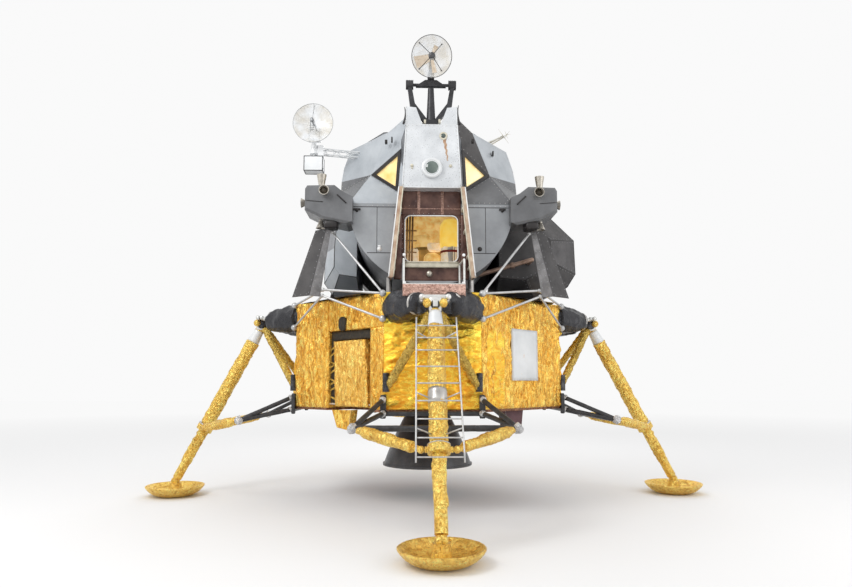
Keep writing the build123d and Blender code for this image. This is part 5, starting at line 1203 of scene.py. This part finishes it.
class LANDER_OT_platform(bpy.types.Operator):
    """Front band, ribs, underside, rail caps and bow of the platform outside the hatch"""

    bl_idname = "lander.platform"
    bl_label = "Egress platform"

    def execute(self, context):
        y = -2.640
        band = [
            wall(-0.424, 0.424, 3.032, 3.192, y, step=0.012, depth=0.014, size=(0.16, 0.06, 1), seed=2, edge=0.02),
            patch([(-0.42, y, 3.188), (0.42, y, 3.188), (0.42, y + 0.10, 3.190), (-0.42, y + 0.10, 3.190)], 0.02),
        ]
        make_piece("platform_band", band, ["band_foil"], weld=False)
        share = np.linspace(-1, 1, 40)
        x, y = np.meshgrid(np.linspace(-0.405, 0.405, 20), np.linspace(-2.60, -1.80, 57))
        z = 3.150 + 0.012 * np.clip(np.sin((y + 2.6) * 2 * pi / 0.10) * 2.5, -1, 1)
        make_piece("platform_ribs", [(np.stack([x, y, z], -1), False)], ["band_foil"])
        under = np.stack([x, y, np.full_like(x, 3.094)], -1)[:, ::-1]
        make_piece("platform_skin", [(under, False)], ["maroon_lining"])
        caps = [ball((side * 0.405, -2.60, 3.60), 0.022) for side in (-1, 1)]
        caps += [rounded((side * 0.40, -2.60, 3.20), (0.022, 0.03, 0.03)) for side in (-1, 1)]
        bow = np.stack([0.36 * share, np.full(40, -1.83), 3.235 - 0.03 * (1 - share**2)], -1)
        make_piece("platform_caps", caps, ["dish_white"])
        make_piece("platform_bow", [sweep(bow, 0.009, around=8)], ["beige_metal"])
        return {"FINISHED"}


class LANDER_OT_ladder(bpy.types.Operator):
    """Ladder on the front leg: two rails, nine rungs and the stand-offs"""

    bl_idname = "lander.ladder"
    bl_label = "Ladder"

    def execute(self, context):
        rungs = (0.455, 0.630, 0.805, 1.030, 1.253, 1.479, 1.705, 1.931, 2.157)
        ahead = np.array((0.0, LEG_WAY[2], -LEG_WAY[1]))

        def on_ladder(side, at):
            """Point on a rail, by its distance down the strut; the rails part a little downwards."""
            across = 0.250 + 0.016 * (at - rungs[0]) / (rungs[-1] - rungs[0])
            return APEX + LEG_WAY * at + ahead * 0.215 + np.array((side * across, 0, 0))

        bars = [rod(on_ladder(side, 0.335), on_ladder(side, 2.217), 0.0100, 12, 16) for side in (-1, 1)]
        bars += [rod(on_ladder(-1, at), on_ladder(1, at), 0.0085, 12, 6) for at in rungs]
        for at in (0.545, 1.370, 1.815):
            for side in (-1, 1):
                rail, middle = on_ladder(side, at), APEX + LEG_WAY * at
                bars.append(rod(rail, (side * 0.040, middle[1], middle[2]), 0.0085, 12, 4))
        make_piece("ladder_bars", bars, ["rod_metal"], replaces=("ladder",))
        return {"FINISHED"}


# ---------------------------------------------------------------- thrusters and antennas
class LANDER_OT_thruster_details(bpy.types.Operator):
    """Nozzle mouths painted near black as shade, slots and base blocks of the four thruster groups"""

    bl_idname = "lander.thruster_details"
    bl_label = "Thruster details"

    def execute(self, context):
        slots, mouths, blocks = [], [], []
        for side, front in ((-1, -1), (-1, 1), (1, -1), (1, 1)):
            y = front * 1.957
            slots.append(rod((side * 1.395, y, 4.625), (side * 1.262, y, 4.498), 0.011, 6, 6))
            slots.append(rod((side * 1.60, y, 4.515), (side * 1.86, y, 4.535), 0.004, 6, 6))
            mouth = (side * 1.580, front * 2.008, 4.670)
            # a flat near-black cap: painted shade inside the nozzle's mouth
            mouths.append(revolved([(0.052, -0.012), (0.050, 0.002), (0.0, 0.003)], mouth, (0, front, 0), 24))
            blocks.append(rounded((side * 1.49, front * 1.80, 4.195), (0.100, 0.13, 0.055), power=0.3))
        make_piece("housing_slots", slots, ["black_frame"])
        make_piece("nozzle_mouths", mouths, ["gap_black"])
        make_piece("housing_blocks", blocks, ["black_frame"])
        return {"FINISHED"}


def dish_axes(way):
    """Right, up and outward directions of a dish that looks along the way."""
    way = unit(way)
    right = np.array((1.0, 0.0, 0.0))
    return right, np.cross(way, right), way


def dish_sheet(centre, way, radius, depth):
    """Thin bowl: depth times (r/R)^2 - 1 below the rim's plane, inner face, rim and outer face in one."""
    thick, drop, r = 0.004, 0.006, np.linspace(0.02, 1, 16)
    inner = np.stack([r * radius, depth * (r**2 - 1)], -1)
    outer = np.stack([r * (radius + thick), depth * (r**2 - 1) - drop], -1)
    profile = np.concatenate([[(0.0, -depth)], inner, outer[::-1], [(0.0, -depth - drop)]])
    return revolved(profile[::-1], centre, way, 72)


def dish_rim(centre, way, radius, thick):
    """Thin tube along the circle just outside the radius, in the plane of the dish's rim."""
    right, up, _ = dish_axes(way)
    turn = np.linspace(0, 2 * pi, 73)[:, None]
    ring = centre + (radius + 0.001) * (np.cos(turn) * right + np.sin(turn) * up)
    return sweep(ring, thick, around=8, caps=False)


def on_dish(centre, way, radius, depth, a, b, lift=0.0):
    """Point over the bowl at (a, b) of its radius to the right and up."""
    right, up, out = dish_axes(way)
    a, b = np.asarray(a, float), np.asarray(b, float)
    rise = depth * (a**2 + b**2 - 1) + lift
    return np.asarray(centre) + radius * (a[..., None] * right + b[..., None] * up) + rise[..., None] * out


class LANDER_OT_radar(bpy.types.Operator):
    """Sheer radar dish with its rim, tan blades, dark legs, hub and neck"""

    bl_idname = "lander.radar"
    bl_label = "Radar dish"

    def execute(self, context):
        centre = np.array((0.0, -1.950, 6.790))
        tilt = radians(22)
        way = np.array((0.0, -cos(tilt), -sin(tilt)))
        radius, depth = 0.303, 0.080
        right, up, out = dish_axes(way)
        bowl = dish_sheet(centre, way, radius, depth)
        make_piece("radar_bowl", [bowl], ["sheer_dish"], body="radar_dish", replaces=("radar_dish",))
        legs, hub_at = [dish_rim(centre, way, radius, 0.0045)], centre + out * 0.135
        for a, b in ((-0.62, 0.62), (0.50, 0.58), (-0.62, -0.60), (0.50, -0.66)):
            foot = on_dish(centre, way, radius, depth, a, b, 0.002)
            legs.append(rod(foot, hub_at, 0.0052, 8, 4))
            legs.append(rod(foot - out * 0.012, foot + out * 0.010, 0.010, 8, 2))
        make_piece("radar_legs", legs, ["black_frame"], body="radar_dish")
        hub = [
            revolved([(0.0, -0.02), (0.040, -0.018), (0.044, 0.02), (0.034, 0.034), (0.0, 0.036)], hub_at, way, 24),
            revolved([(0.0, -0.06), (0.020, -0.058), (0.022, -0.015), (0.0, -0.01)], hub_at, way, 16),
            rounded(hub_at - right * 0.024 - up * 0.018, (0.026, 0.026, 0.022), power=0.5),
        ]
        make_piece("radar_hub", hub, ["nozzle_dark"], body="radar_dish")
        blades = []
        for angle, reach, wide in ((66, 0.56, 0.10), (200, 0.86, 0.26), (-78, 0.78, 0.10)):
            t, w = np.meshgrid(np.linspace(0.14, reach, 14), np.linspace(-1, 1, 8), indexing="ij")
            turn, breadth = radians(angle), wide * (0.55 + 0.6 * t / reach)
            a = t * cos(turn) - w * breadth * sin(turn)
            b = t * sin(turn) + w * breadth * cos(turn)
            blades.append((on_dish(centre, way, radius, depth, a, b, 0.004)[:, ::-1], False))
            blades.append((on_dish(centre, way, radius, depth, a, b, -0.012), False))
        make_piece("radar_blades", blades, ["blade_tan"], body="radar_dish")
        back = centre - out * (depth + 0.004)
        neck = [
            rod(back + out * 0.004, back - out * 0.068, 0.064, 28, 3),
            rod((0, RADAR_PIVOT_Y, 6.665), back - out * 0.050, 0.038, 20, 4),
            rod((0, RADAR_PIVOT_Y, 6.582), (0, RADAR_PIVOT_Y, 6.688), 0.053, 28, 3),
        ]
        make_piece("radar_neck", neck, ["black_paint"], body="radar_dish")
        column = [(0.112, 5.712), (0.114, 5.74), (0.100, 5.76), (0.082, 5.85), (0.080, 5.895), (0.086, 5.905)]
        make_piece("radar_base", [revolved(column, (0, RADAR_PIVOT_Y, 0.0), UP, 32)], ["titanium"])
        grips = []
        for side in (-1, 1):
            for n in range(4):
                near, far = side * (0.275 + n * 0.030), side * (0.282 + n * 0.030)
                grips.append(rod((near, RADAR_PIVOT_Y, 6.500), (far, RADAR_PIVOT_Y, 6.500), 0.0755, 28, 2))
        make_piece("drum_rings", grips, ["charcoal_skin"])
        return {"FINISHED"}


def box_edges(low, high, thick):
    """Rods along the twelve edges of the box between two opposite corners."""
    (x0, y0, z0), (x1, y1, z1) = low, high
    ends = []
    for x in (x0, x1):
        ends += [((x, y, z0), (x, y, z1)) for y in (y0, y1)]
        ends += [((x, y0, z), (x, y1, z)) for z in (z0, z1)]
    ends += [((x0, y, z), (x1, y, z)) for y in (y0, y1) for z in (z0, z1)]
    return [rod(a, b, thick, 6, 2) for a, b in ends]


class LANDER_OT_steerable_antenna(bpy.types.Operator):
    """Sheer steerable dish with a thin rim, feed mast and ribs, and the edges of its box"""

    bl_idname = "lander.steerable_antenna"
    bl_label = "Steerable antenna"

    def execute(self, context):
        centre, way = np.array((-1.895, -1.115, 6.070)), np.array((0.0, -1.0, 0.0))
        radius, depth = 0.323, 0.095
        right, up, out = dish_axes(way)
        bowl = dish_sheet(centre, way, radius, depth)
        make_piece("antenna_bowl", [bowl], ["sheer_dish"], body="sband_dish", replaces=("sband_dish",))
        dark = [dish_rim(centre, way, radius, 0.0035)]
        share = np.linspace(0.1, 1, 12)
        for angle in np.radians(range(0, 360, 30)):
            line = on_dish(centre, way, radius, depth, share * cos(angle), share * sin(angle), -0.010)
            dark.append(sweep(line, 0.0022, around=6))
        make_piece("antenna_rim", dark, ["grey_wire"], body="sband_dish")
        tip = centre + out * 0.095
        mast = [
            rod(centre - out * depth, tip, 0.012, 12, 3),
            rod(tip, tip + out * 0.045, 0.030, 20, 3),
            rod(on_dish(centre, way, radius, depth, 0.06, 0.93), tip + up * 0.02, 0.004, 8, 3),
            rod(on_dish(centre, way, radius, depth, -0.14, -0.30), tip - right * 0.03, 0.004, 8, 3),
            rod(on_dish(centre, way, radius, depth, 0.14, -0.30), tip + right * 0.03, 0.004, 8, 3),
        ]
        for n in range(5):
            middle = tip - up * (0.03 + 0.03 * n)
            mast.append(rod(middle - right * 0.035, middle + right * 0.035, 0.005, 6, 2))
        make_piece("antenna_mast", mast, ["grey_wire"], body="sband_dish")
        pivot = np.array((-1.895, -0.900, 6.010))
        base = [
            rod(pivot - right * 0.108, pivot + right * 0.108, 0.0135, 16, 2),
            rounded(pivot, (0.055, 0.035, 0.045)),
            rounded(pivot + np.array((0, -0.075, 0.030)), (0.045, 0.046, 0.045)),
            rod(pivot + np.array((0, -0.10, 0.045)), centre - out * (depth - 0.004), 0.024, 16, 3),
        ]
        make_piece("antenna_head", base, ["white_paint"], body="sband_dish")
        edges = box_edges((-2.045, -1.0, 5.315), (-1.745, -0.8, 5.555), 0.007)
        make_piece("antenna_box_edges", edges, ["nozzle_dark"], body="sband_gimbal")
        return {"FINISHED"}


class LANDER_OT_short_wave_antenna(bpy.types.Operator):
    """Lattice boom with crossed spikes behind the right shoulder"""

    bl_idname = "lander.short_wave_antenna"
    bl_label = "Spiked antenna"

    def execute(self, context):
        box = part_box("vhf_antenna")
        low, high = np.array(box[0]), np.array(box[1])
        tip = np.array((high[0] - 0.035, (low[1] + high[1]) / 2, high[2] - 0.03))
        root = np.array((low[0] + 0.03, tip[1], tip[2] - 0.16))
        way, side = unit(tip - root), np.array((0, 1.0, 0))
        up = np.cross(way, side)
        chords = [(a * side + b * up) * 0.022 for a, b in ((-1, -1), (1, -1), (1, 1), (-1, 1))]
        bars = [rod(root + c, tip + c * 0.6, 0.0045, 6, 2) for c in chords]
        stops = np.linspace(0, 1, 8)
        for near, far in zip(stops[:-1], stops[1:]):
            for c, d in zip(chords, chords[1:] + chords[:1]):
                bars.append(rod(root * (1 - near) + tip * near + c, root * (1 - far) + tip * far + d, 0.003, 6, 2))
        make_piece("antenna_lattice", bars, ["beige_metal"])
        hub = tip + way * 0.01
        far = hub + way * 0.06

        def spike(root, aim, length, radii):
            """Tapering tube of a length from the root along the aim."""
            return sweep(along(root, root + np.array(aim), 0.0, length, 4), radii, around=6)

        long_ways = (-0.5, 0.3, 0.9), (0.5, -0.3, -0.9), (0.3, 0.9, 0.2), (-0.3, -0.9, -0.2)
        short_ways = (-0.2, 0.4, 0.9), (0.2, -0.4, -0.9), (0.8, 0.4, 0.3), (-0.2, 0.9, -0.3), (0.5, -0.8, 0.4)
        spikes = [spike(hub, aim, 0.19, (0.006, 0.0045, 0.003, 0.0015)) for aim in long_ways]
        spikes.append(rod(hub, far, 0.005, 6, 2))
        spikes += [spike(far, aim, 0.10, (0.005, 0.004, 0.003, 0.0015)) for aim in short_ways]
        make_piece("antenna_spikes", spikes, ["beige_metal"])
        return {"FINISHED"}


# ---------------------------------------------------------------- outriggers and equipment recess
class LANDER_OT_outrigger_foil(bpy.types.Operator):
    """Crumpled foil round the slanting outrigger bars"""

    bl_idname = "lander.outrigger_foil"
    bl_label = "Outrigger foil"

    def execute(self, context):
        sleeves = []
        for side in (-1, 1):
            foot = np.array((side * 0.650, -BODY_HALF, 1.775))
            run = np.linalg.norm(foot - APEX)
            path = along(APEX, foot, 0.118, run - 0.05, 90)
            sleeves.append(sweep(path, 0.049, around=28, depth=0.020, size=(0.05, 0.05, 0.06), seed=3 + side))
        make_piece("outrigger_foil", on_each_leg(sleeves), ["dull_foil"])
        return {"FINISHED"}


class LANDER_OT_recess_gap(bpy.types.Operator):
    """Black sheet of painted shade in the slot round the equipment package, with its torn edge strips"""

    bl_idname = "lander.recess_gap"
    bl_label = "Recess gap"

    def execute(self, context):
        f = "front_left"
        # the slot's sheets are near black: painted shade
        look = dict(step=0.02, depth=0.02, size=(0.05, 0.05, 1))
        corners = (-0.200, 1.56), (-0.045, 1.56), (-0.092, 2.655), (-0.200, 2.655)
        gap = [
            patch([on_face(f, s, z, -0.06) for s, z in corners], **look, seed=1),
            patch(face_corners(f, -0.200, 0.745, 2.515, 2.655, -0.06), **look, seed=2),
        ]
        make_piece("recess_shadow", gap, ["gap_black"], weld=False)
        strips = []
        for number, z in enumerate(np.linspace(1.66, 2.36, 9)):
            s0, s1, rise = -0.196, -0.062 - 0.045 * (z - 1.56), 0.045 * (1 if number % 3 else -1)
            corners = (s0, z), (s1, z + rise), (s1, z + rise + 0.030), (s0, z + 0.022)
            sheet = [on_face(f, s, h, -0.035) for s, h in corners]
            strips.append(patch(sheet, 0.012, 0.008, (0.04, 0.04, 1), number, tuck=0.006))
        make_piece("recess_strips_torn", strips, ["dull_foil"], weld=False)
        # small slot: a low near-black cap raised just over the foil, painted shade of the opening
        slot_s, slot_z = 0.155, 2.755
        outline = rounded_outline(0.075, 0.105, 0.070, 6) + (slot_s, slot_z)
        points = np.array([on_face(f, s, z, 0.046) for s, z in outline])
        middle = np.repeat(on_face(f, slot_s, slot_z, 0.050)[None], len(points), 0)
        rim = np.array([on_face(f, s, z, 0.0) for s, z in outline])
        make_piece("small_slot", [(np.array([rim, points, middle]), True)], ["gap_black"])
        return {"FINISHED"}


# ---------------------------------------------------------------- hull skins away from the front
def seam_strips(name, node, pick, radius, finish):
    """Thin mouldings along the free edges of the skins over a CAD node."""
    verts, faces, _, normals = facet_skins(node, pick, 0.004)
    ends = verts[free_edges(verts, faces, normals, 0.2)]
    make_piece(name, [rod(a, b, radius, 6, 2) for a, b in ends], [finish])


def tone_number(normal, count):
    """A number below count from the direction of each facet: the fraction of a sine of its normal."""
    mix = np.sin(normal.round(2) @ np.array((12.9, 78.2, 37.7))) * 43.7
    return ((mix - np.floor(mix)) * count).astype(int)


def barrel_pick(count):
    """Pick for a hull along Y: outward facets, each with a tone, and one tone under the round belly."""

    def pick(normal, centre):
        radial = normal[:, 0] * centre[:, 0] + normal[:, 2] * (centre[:, 2] - CABIN_Z)
        tone = np.where(normal[:, 2] < -0.02, 0, tone_number(normal, count))
        return np.where((radial > 0.35) & (np.abs(normal[:, 1]) < 0.97), tone, -1)

    return pick


def solid_pick(middle, count):
    """Pick for a closed block: facets that look away from its middle, each with a tone."""
    middle = np.asarray(middle, float)

    def pick(normal, centre):
        away = ((centre - middle) * normal).sum(1)
        return np.where(away > 0.05, tone_number(normal, count), -1)

    return pick


class LANDER_OT_hull_skins(bpy.types.Operator):
    """Skin panels and studs on the midsection, tank housings and deflectors, and the hulls' seams"""

    bl_idname = "lander.hull_skins"
    bl_label = "Hull skins"

    def execute(self, context):
        hulls = (
            ("midsection", barrel_pick(3), ["grey_skin", "mid_skin", "grey_skin"], "titanium"),
            ("tank_housing_left", solid_pick((-1.40, 0.24, 4.1), 2), ["pale_skin", "grey_skin"], "titanium"),
            ("tank_housing_right", solid_pick((1.80, 0.24, 4.1), 2), ["charcoal_skin", "tank_dark"], "grey_wire"),
        )
        for node, pick, finishes, stud in hulls:
            skin_piece(f"{node}_skin", node, pick, finishes, stud_finish=stud)
            seam_strips(f"{node}_seams", node, pick, 0.0055, "charcoal_skin")

        def bent(normal, centre):
            """0 where a deflector's plate faces out and away from the middle, 1 out and towards it."""
            x, y = normal[:, 0] * np.sign(centre[:, 0]), normal[:, 1] * np.sign(centre[:, 1])
            return np.where((y > 0.3) & (x > 0.3), 0, np.where((y > 0.3) & (x < -0.3), 1, -1))

        tones = ["charcoal_skin", "deflector_edge"]
        skin_piece("deflector_skins", "plume_deflectors", bent, tones, 0.002, "grey_wire", 0.09)
        return {"FINISHED"}


class LANDER_OT_aft_bay(bpy.types.Operator):
    """Skin, seams, cover panels and studs of the equipment bay at the rear"""

    bl_idname = "lander.aft_bay"
    bl_label = "Aft equipment bay"

    def execute(self, context):
        pick = solid_pick((0.0, 1.15, 4.6), 2)
        skin_piece("aft_bay_skin", "aft_equipment_bay", pick, ["charcoal_skin", "tank_dark"], stud_finish="grey_wire")
        seam_strips("aft_bay_seams", "aft_equipment_bay", pick, 0.007, "black_frame")
        panels, places, y, inset = [], [], 1.642, 0.02
        for column, (x0, x1) in enumerate(((-0.92, -0.33), (-0.30, 0.30), (0.33, 0.92))):
            for row, (z0, z1) in enumerate(((3.62, 4.12), (4.15, 4.75), (4.78, 5.30))):
                corners = [(x1, y, z0), (x0, y, z0), (x0, y, z1), (x1, y, z1)]
                sheet = patch(corners, 0.03, 0.010, (0.25, 0.25, 1), column + row, lift=0.010, tuck=0.012)
                panels.append(painted(sheet, (column + row) % 3))
                for t in np.linspace(0.04, 0.96, 7):
                    x, z = x0 + (x1 - x0) * t, z0 + (z1 - z0) * t
                    places += [(x, y + 0.014, z0 + inset), (x, y + 0.014, z1 - inset)]
                    places += [(x0 + inset, y + 0.014, z), (x1 - inset, y + 0.014, z)]
        make_piece("aft_panels", panels, ["tank_dark", "charcoal_skin", "tank_dark"], weld=False)
        studs("aft_panel_studs", places, REAR, 0.007, "grey_wire")
        return {"FINISHED"}


class LANDER_OT_roof_details(bpy.types.Operator):
    """Studs, latches and skirt of the docking tunnel, and the roof's handrails"""

    bl_idname = "lander.roof_details"
    bl_label = "Roof details"

    def execute(self, context):
        turn = np.linspace(0, 2 * pi, 25)[:-1]
        places = np.stack([0.468 * np.cos(turn), 0.468 * np.sin(turn), np.full(24, 6.401)], -1)
        studs("tunnel_studs", places, UP, 0.011, "titanium")
        latches = []
        for angle in range(15, 375, 30):
            way = np.array((cos(radians(angle)), sin(radians(angle)), 0))
            side = np.array((-way[1], way[0], 0))
            at = way * 0.488 + np.array((0, 0, 6.335))
            latches.append(rounded(at, (0.018, 0.030, 0.030), (way, side, UP)))
        make_piece("tunnel_latches", latches, ["titanium"])
        profile = [(0.560, 6.108), (0.562, 6.118), (0.520, 6.128), (0.472, 6.132), (0.470, 6.120)]
        skirt = revolved(profile, (0, 0, 0), UP, 64, 0.006, (0.1, 0.1, 0.1), 1)
        make_piece("tunnel_skirt", [skirt], ["black_blanket"])
        rails = []
        for side in (-1, 1):
            path = [(side * 0.62, y, z) for y, z in ((-0.30, 6.10), (-0.30, 6.18), (0.30, 6.18), (0.30, 6.10))]
            rails.append(sweep(polyline(path, 0.03), 0.012, around=8))
        make_piece("roof_rails", rails, ["dish_white"])
        return {"FINISHED"}


def lumpy_ball(centre, radius, depth):
    """Ball pushed out by up to a share of its radius times the creases, with its poles kept closed."""
    points = ball(centre, radius, 17, 28)[0]
    away = unit(points - np.asarray(centre))
    points = points + away * (radius * depth * creases(points, (0.06, 0.06, 0.06), 2))[..., None]
    points[[0, -1]] = points[[0, -1]].mean(1, keepdims=True)
    return points, True


class LANDER_OT_trusses(bpy.types.Operator):
    """Black trusses that hold the lower struts, with silver wrapped joints"""

    bl_idname = "lander.trusses"
    bl_label = "Trusses"

    def execute(self, context):
        bars, wraps, crinkle = [], [], (0.08, 0.08, 0.1)
        for side in (-1, 1):
            node, foot_x = np.array((side, 1, 1)) * TRUSS_NODE, side * 0.69
            for target in ((foot_x, -2.215, 1.450), (foot_x, -2.215, 1.640)):
                path = along(node, target, 0.02, np.linalg.norm(node - target), 12)
                bars.append(sweep(path, 0.033, around=18, depth=0.004, size=crinkle, seed=1))
            bars.append(rounded((foot_x, -2.178, 1.545), (0.042, 0.030, 0.165), power=0.25))
            wraps.append(lumpy_ball(node, 0.058, 0.35))
            wraps += [lumpy_ball((foot_x, -2.225, z), 0.042, 0.30) for z in (1.640, 1.452)]
        outer = along((-1.02, *TRUSS_NODE[1:]), (1.02, *TRUSS_NODE[1:]), 0, 2.04, 40)
        inner = along((-0.66, -2.186, 1.450), (0.66, -2.186, 1.450), 0, 1.32, 30)
        bars.append(sweep(outer, 0.038, around=20, depth=0.005, size=crinkle, seed=2))
        bars.append(sweep(inner, 0.033, around=20, depth=0.004, size=crinkle, seed=3))
        make_piece("trusses", on_each_leg(bars), ["black_tube"], replaces=("deployment_trusses",))
        make_piece("truss_wraps", on_each_leg(wraps), ["silver_foil"])
        return {"FINISHED"}


class LANDER_OT_engine_details(bpy.types.Operator):
    """Rim of the descent engine's bell"""

    bl_idname = "lander.engine_details"
    bl_label = "Engine bell details"

    def execute(self, context):
        rim = max(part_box("descent_engine")[1][:2])
        ring = [(rim - 0.012, 0.500), (rim - 0.002, 0.503), (rim - 0.002, 0.522), (rim - 0.014, 0.530)]
        make_piece("bell_rim", [revolved(ring, (0, 0, 0), UP, 72)], ["titanium"], body="descent_engine")
        return {"FINISHED"}


# ---------------------------------------------------------------- carried-over nodes
NODE_FINISHES = {
    "crew_compartment": "grey_skin",
    "midsection": "grey_skin",
    "tank_housing_left": "pale_skin",
    "tank_housing_right": "charcoal_skin",
    "front_panel": "silver_panel",
    "recess_frame": "tan_rail",
    "footpads": "pad_foil",
    "primary_struts": "strut_foil",
    "secondary_struts": "strut_foil",
    "side_tube": "bronze_tube",
    "rcs_housings": "mid_skin",
    "deflector_struts": "rod_metal",
}


class LANDER_OT_finishes(bpy.types.Operator):
    """All finishes, the main ones in the colours of the settings"""

    bl_idname = "lander.finishes"
    bl_label = "Finishes"

    def execute(self, context):
        make_finishes(context.scene.lander_colours)
        return {"FINISHED"}


class LANDER_OT_node_finishes(bpy.types.Operator):
    """Finish of every node of the model"""

    bl_idname = "lander.node_finishes"
    bl_label = "Node finishes"

    def execute(self, context):
        slots = {row["node"]: row["material_slot"] for row in frame["record"]["subparts"]}
        for name, node in frame["nodes"].items():
            finish = FINISHES[NODE_FINISHES.get(name, slots[name])]
            if not node.data.materials:
                node.data.materials.append(finish)
            for index in range(len(node.data.materials)):
                node.data.materials[index] = finish
        return {"FINISHED"}


# ---------------------------------------------------------------- stage
class LANDER_OT_stage(bpy.types.Operator):
    """Pale floor, soft studio lights and the camera"""

    bl_idname = "lander.stage"
    bl_label = "Stage"

    def execute(self, context):
        scene, studio = context.scene, context.scene.lander_stage
        data = bpy.data.cameras.new("camera")
        data.sensor_width = 36.0
        data.lens = 26.93
        data.shift_y = 0.0223
        data.clip_start, data.clip_end = 0.1, 200.0
        camera = bpy.data.objects.new("camera", data)
        camera.location = (-0.387, -11.103, 1.861)
        camera.rotation_euler = (pi / 2 + 0.1114, 0.0, -0.0327)
        scene.collection.objects.link(camera)
        scene.camera = camera
        line = np.linspace(-60, 60, 25)
        x, y = np.meshgrid(line, line)
        points = np.stack([x, y, np.full_like(x, -0.002)], -1)
        pale, tree, shader = new_finish("studio_floor", (0.93, 0.93, 0.93), 0.9, 0.0)
        shader.inputs["Specular IOR Level"].default_value = 0.0
        fade = add_node(tree, "ShaderNodeTexGradient", gradient_type="SPHERICAL")
        fade_reach = 45.0
        feed(place(tree, (1 / fade_reach,) * 3), fade, "Vector")
        tone = ramp(tree, fade.outputs["Fac"], ((0.25, (0.990, 0.990, 0.990)), (0.97, (0.800, 0.800, 0.803))))
        feed(tone, shader, "Base Color")
        FINISHES["studio_floor"] = pale
        faces = grid_faces(*x.shape)
        kinds = np.zeros(len(faces))
        floor = fill_mesh("studio_floor", points.reshape(-1, 3), faces, kinds, ["studio_floor"], False, False)
        world = bpy.data.worlds.new("studio")
        world.use_nodes = True
        sky = world.node_tree.nodes["Background"]
        sky.inputs["Color"].default_value = (1.0, 1.0, 1.0, 1.0)
        sky.inputs["Strength"].default_value = studio.background
        scene.world = world
        lights = (
            ("key", (-6.0, -7.0, 9.5), 4.0, studio.lamp_power),
            ("fill", (8.0, -6.0, 5.0), 5.0, studio.lamp_power * 0.29),
            ("back", (2.0, 9.0, 9.0), 5.0, studio.lamp_power * 0.48),
        )
        aim = Vector((0.0, 0.0, 3.0))
        for name, at, size, power in lights:
            light = bpy.data.lights.new(name, "AREA")
            light.shape = "SQUARE"
            light.size = size
            light.energy = power
            holder = bpy.data.objects.new(name, light)
            holder.location = at
            holder.rotation_euler = (aim - Vector(at)).to_track_quat("-Z", "Y").to_euler()
            scene.collection.objects.link(holder)
        scene.view_settings.view_transform = "Standard"
        return {"FINISHED"}


# ---------------------------------------------------------------- add-on
PIECE_OPERATORS = (
    LANDER_OT_finishes,
    LANDER_OT_node_finishes,
    LANDER_OT_quadrant_foil,
    LANDER_OT_leg_face_foil,
    LANDER_OT_equipment_cover,
    LANDER_OT_body_details,
    LANDER_OT_strut_foil,
    LANDER_OT_pad_foil,
    LANDER_OT_outrigger_covers,
    LANDER_OT_outrigger_foil,
    LANDER_OT_recess_gap,
    LANDER_OT_cabin_skins,
    LANDER_OT_front_panel_details,
    LANDER_OT_hatch_recess,
    LANDER_OT_cabin_fittings,
    LANDER_OT_cabin_inside,
    LANDER_OT_platform,
    LANDER_OT_ladder,
    LANDER_OT_thruster_details,
    LANDER_OT_radar,
    LANDER_OT_steerable_antenna,
    LANDER_OT_short_wave_antenna,
    LANDER_OT_hull_skins,
    LANDER_OT_aft_bay,
    LANDER_OT_roof_details,
    LANDER_OT_trusses,
    LANDER_OT_engine_details,
    LANDER_OT_stage,
)


class VIEW3D_PT_lander(bpy.types.Panel):
    """Lists the lander's settings and operators"""

    bl_label = "Lunar lander looks"
    bl_idname = "VIEW3D_PT_lander"
    bl_space_type = "VIEW_3D"
    bl_region_type = "UI"
    bl_category = "Lander"

    def draw(self, context):
        scene = context.scene
        for settings in (scene.lander_colours, scene.lander_foil, scene.lander_stage):
            for key in settings.__annotations__:
                self.layout.prop(settings, key)
        for operator in PIECE_OPERATORS:
            self.layout.operator(operator.bl_idname)


CLASSES = (LanderColourSettings, LanderFoilSettings, LanderStageSettings, *PIECE_OPERATORS, VIEW3D_PT_lander)


def register():
    """Registers the classes and the settings."""
    for part in CLASSES:
        bpy.utils.register_class(part)
    bpy.types.Scene.lander_colours = bpy.props.PointerProperty(type=LanderColourSettings)
    bpy.types.Scene.lander_foil = bpy.props.PointerProperty(type=LanderFoilSettings)
    bpy.types.Scene.lander_stage = bpy.props.PointerProperty(type=LanderStageSettings)


def unregister():
    """Removes the settings and the classes."""
    del bpy.types.Scene.lander_stage
    del bpy.types.Scene.lander_foil
    del bpy.types.Scene.lander_colours
    for part in reversed(CLASSES):
        bpy.utils.unregister_class(part)


def main():
    """Registers the add-on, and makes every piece."""
    register()
    for operator in PIECE_OPERATORS:
        group, name = operator.bl_idname.split(".")
        getattr(getattr(bpy.ops, group), name)()


if __name__ == "__main__":
    main()
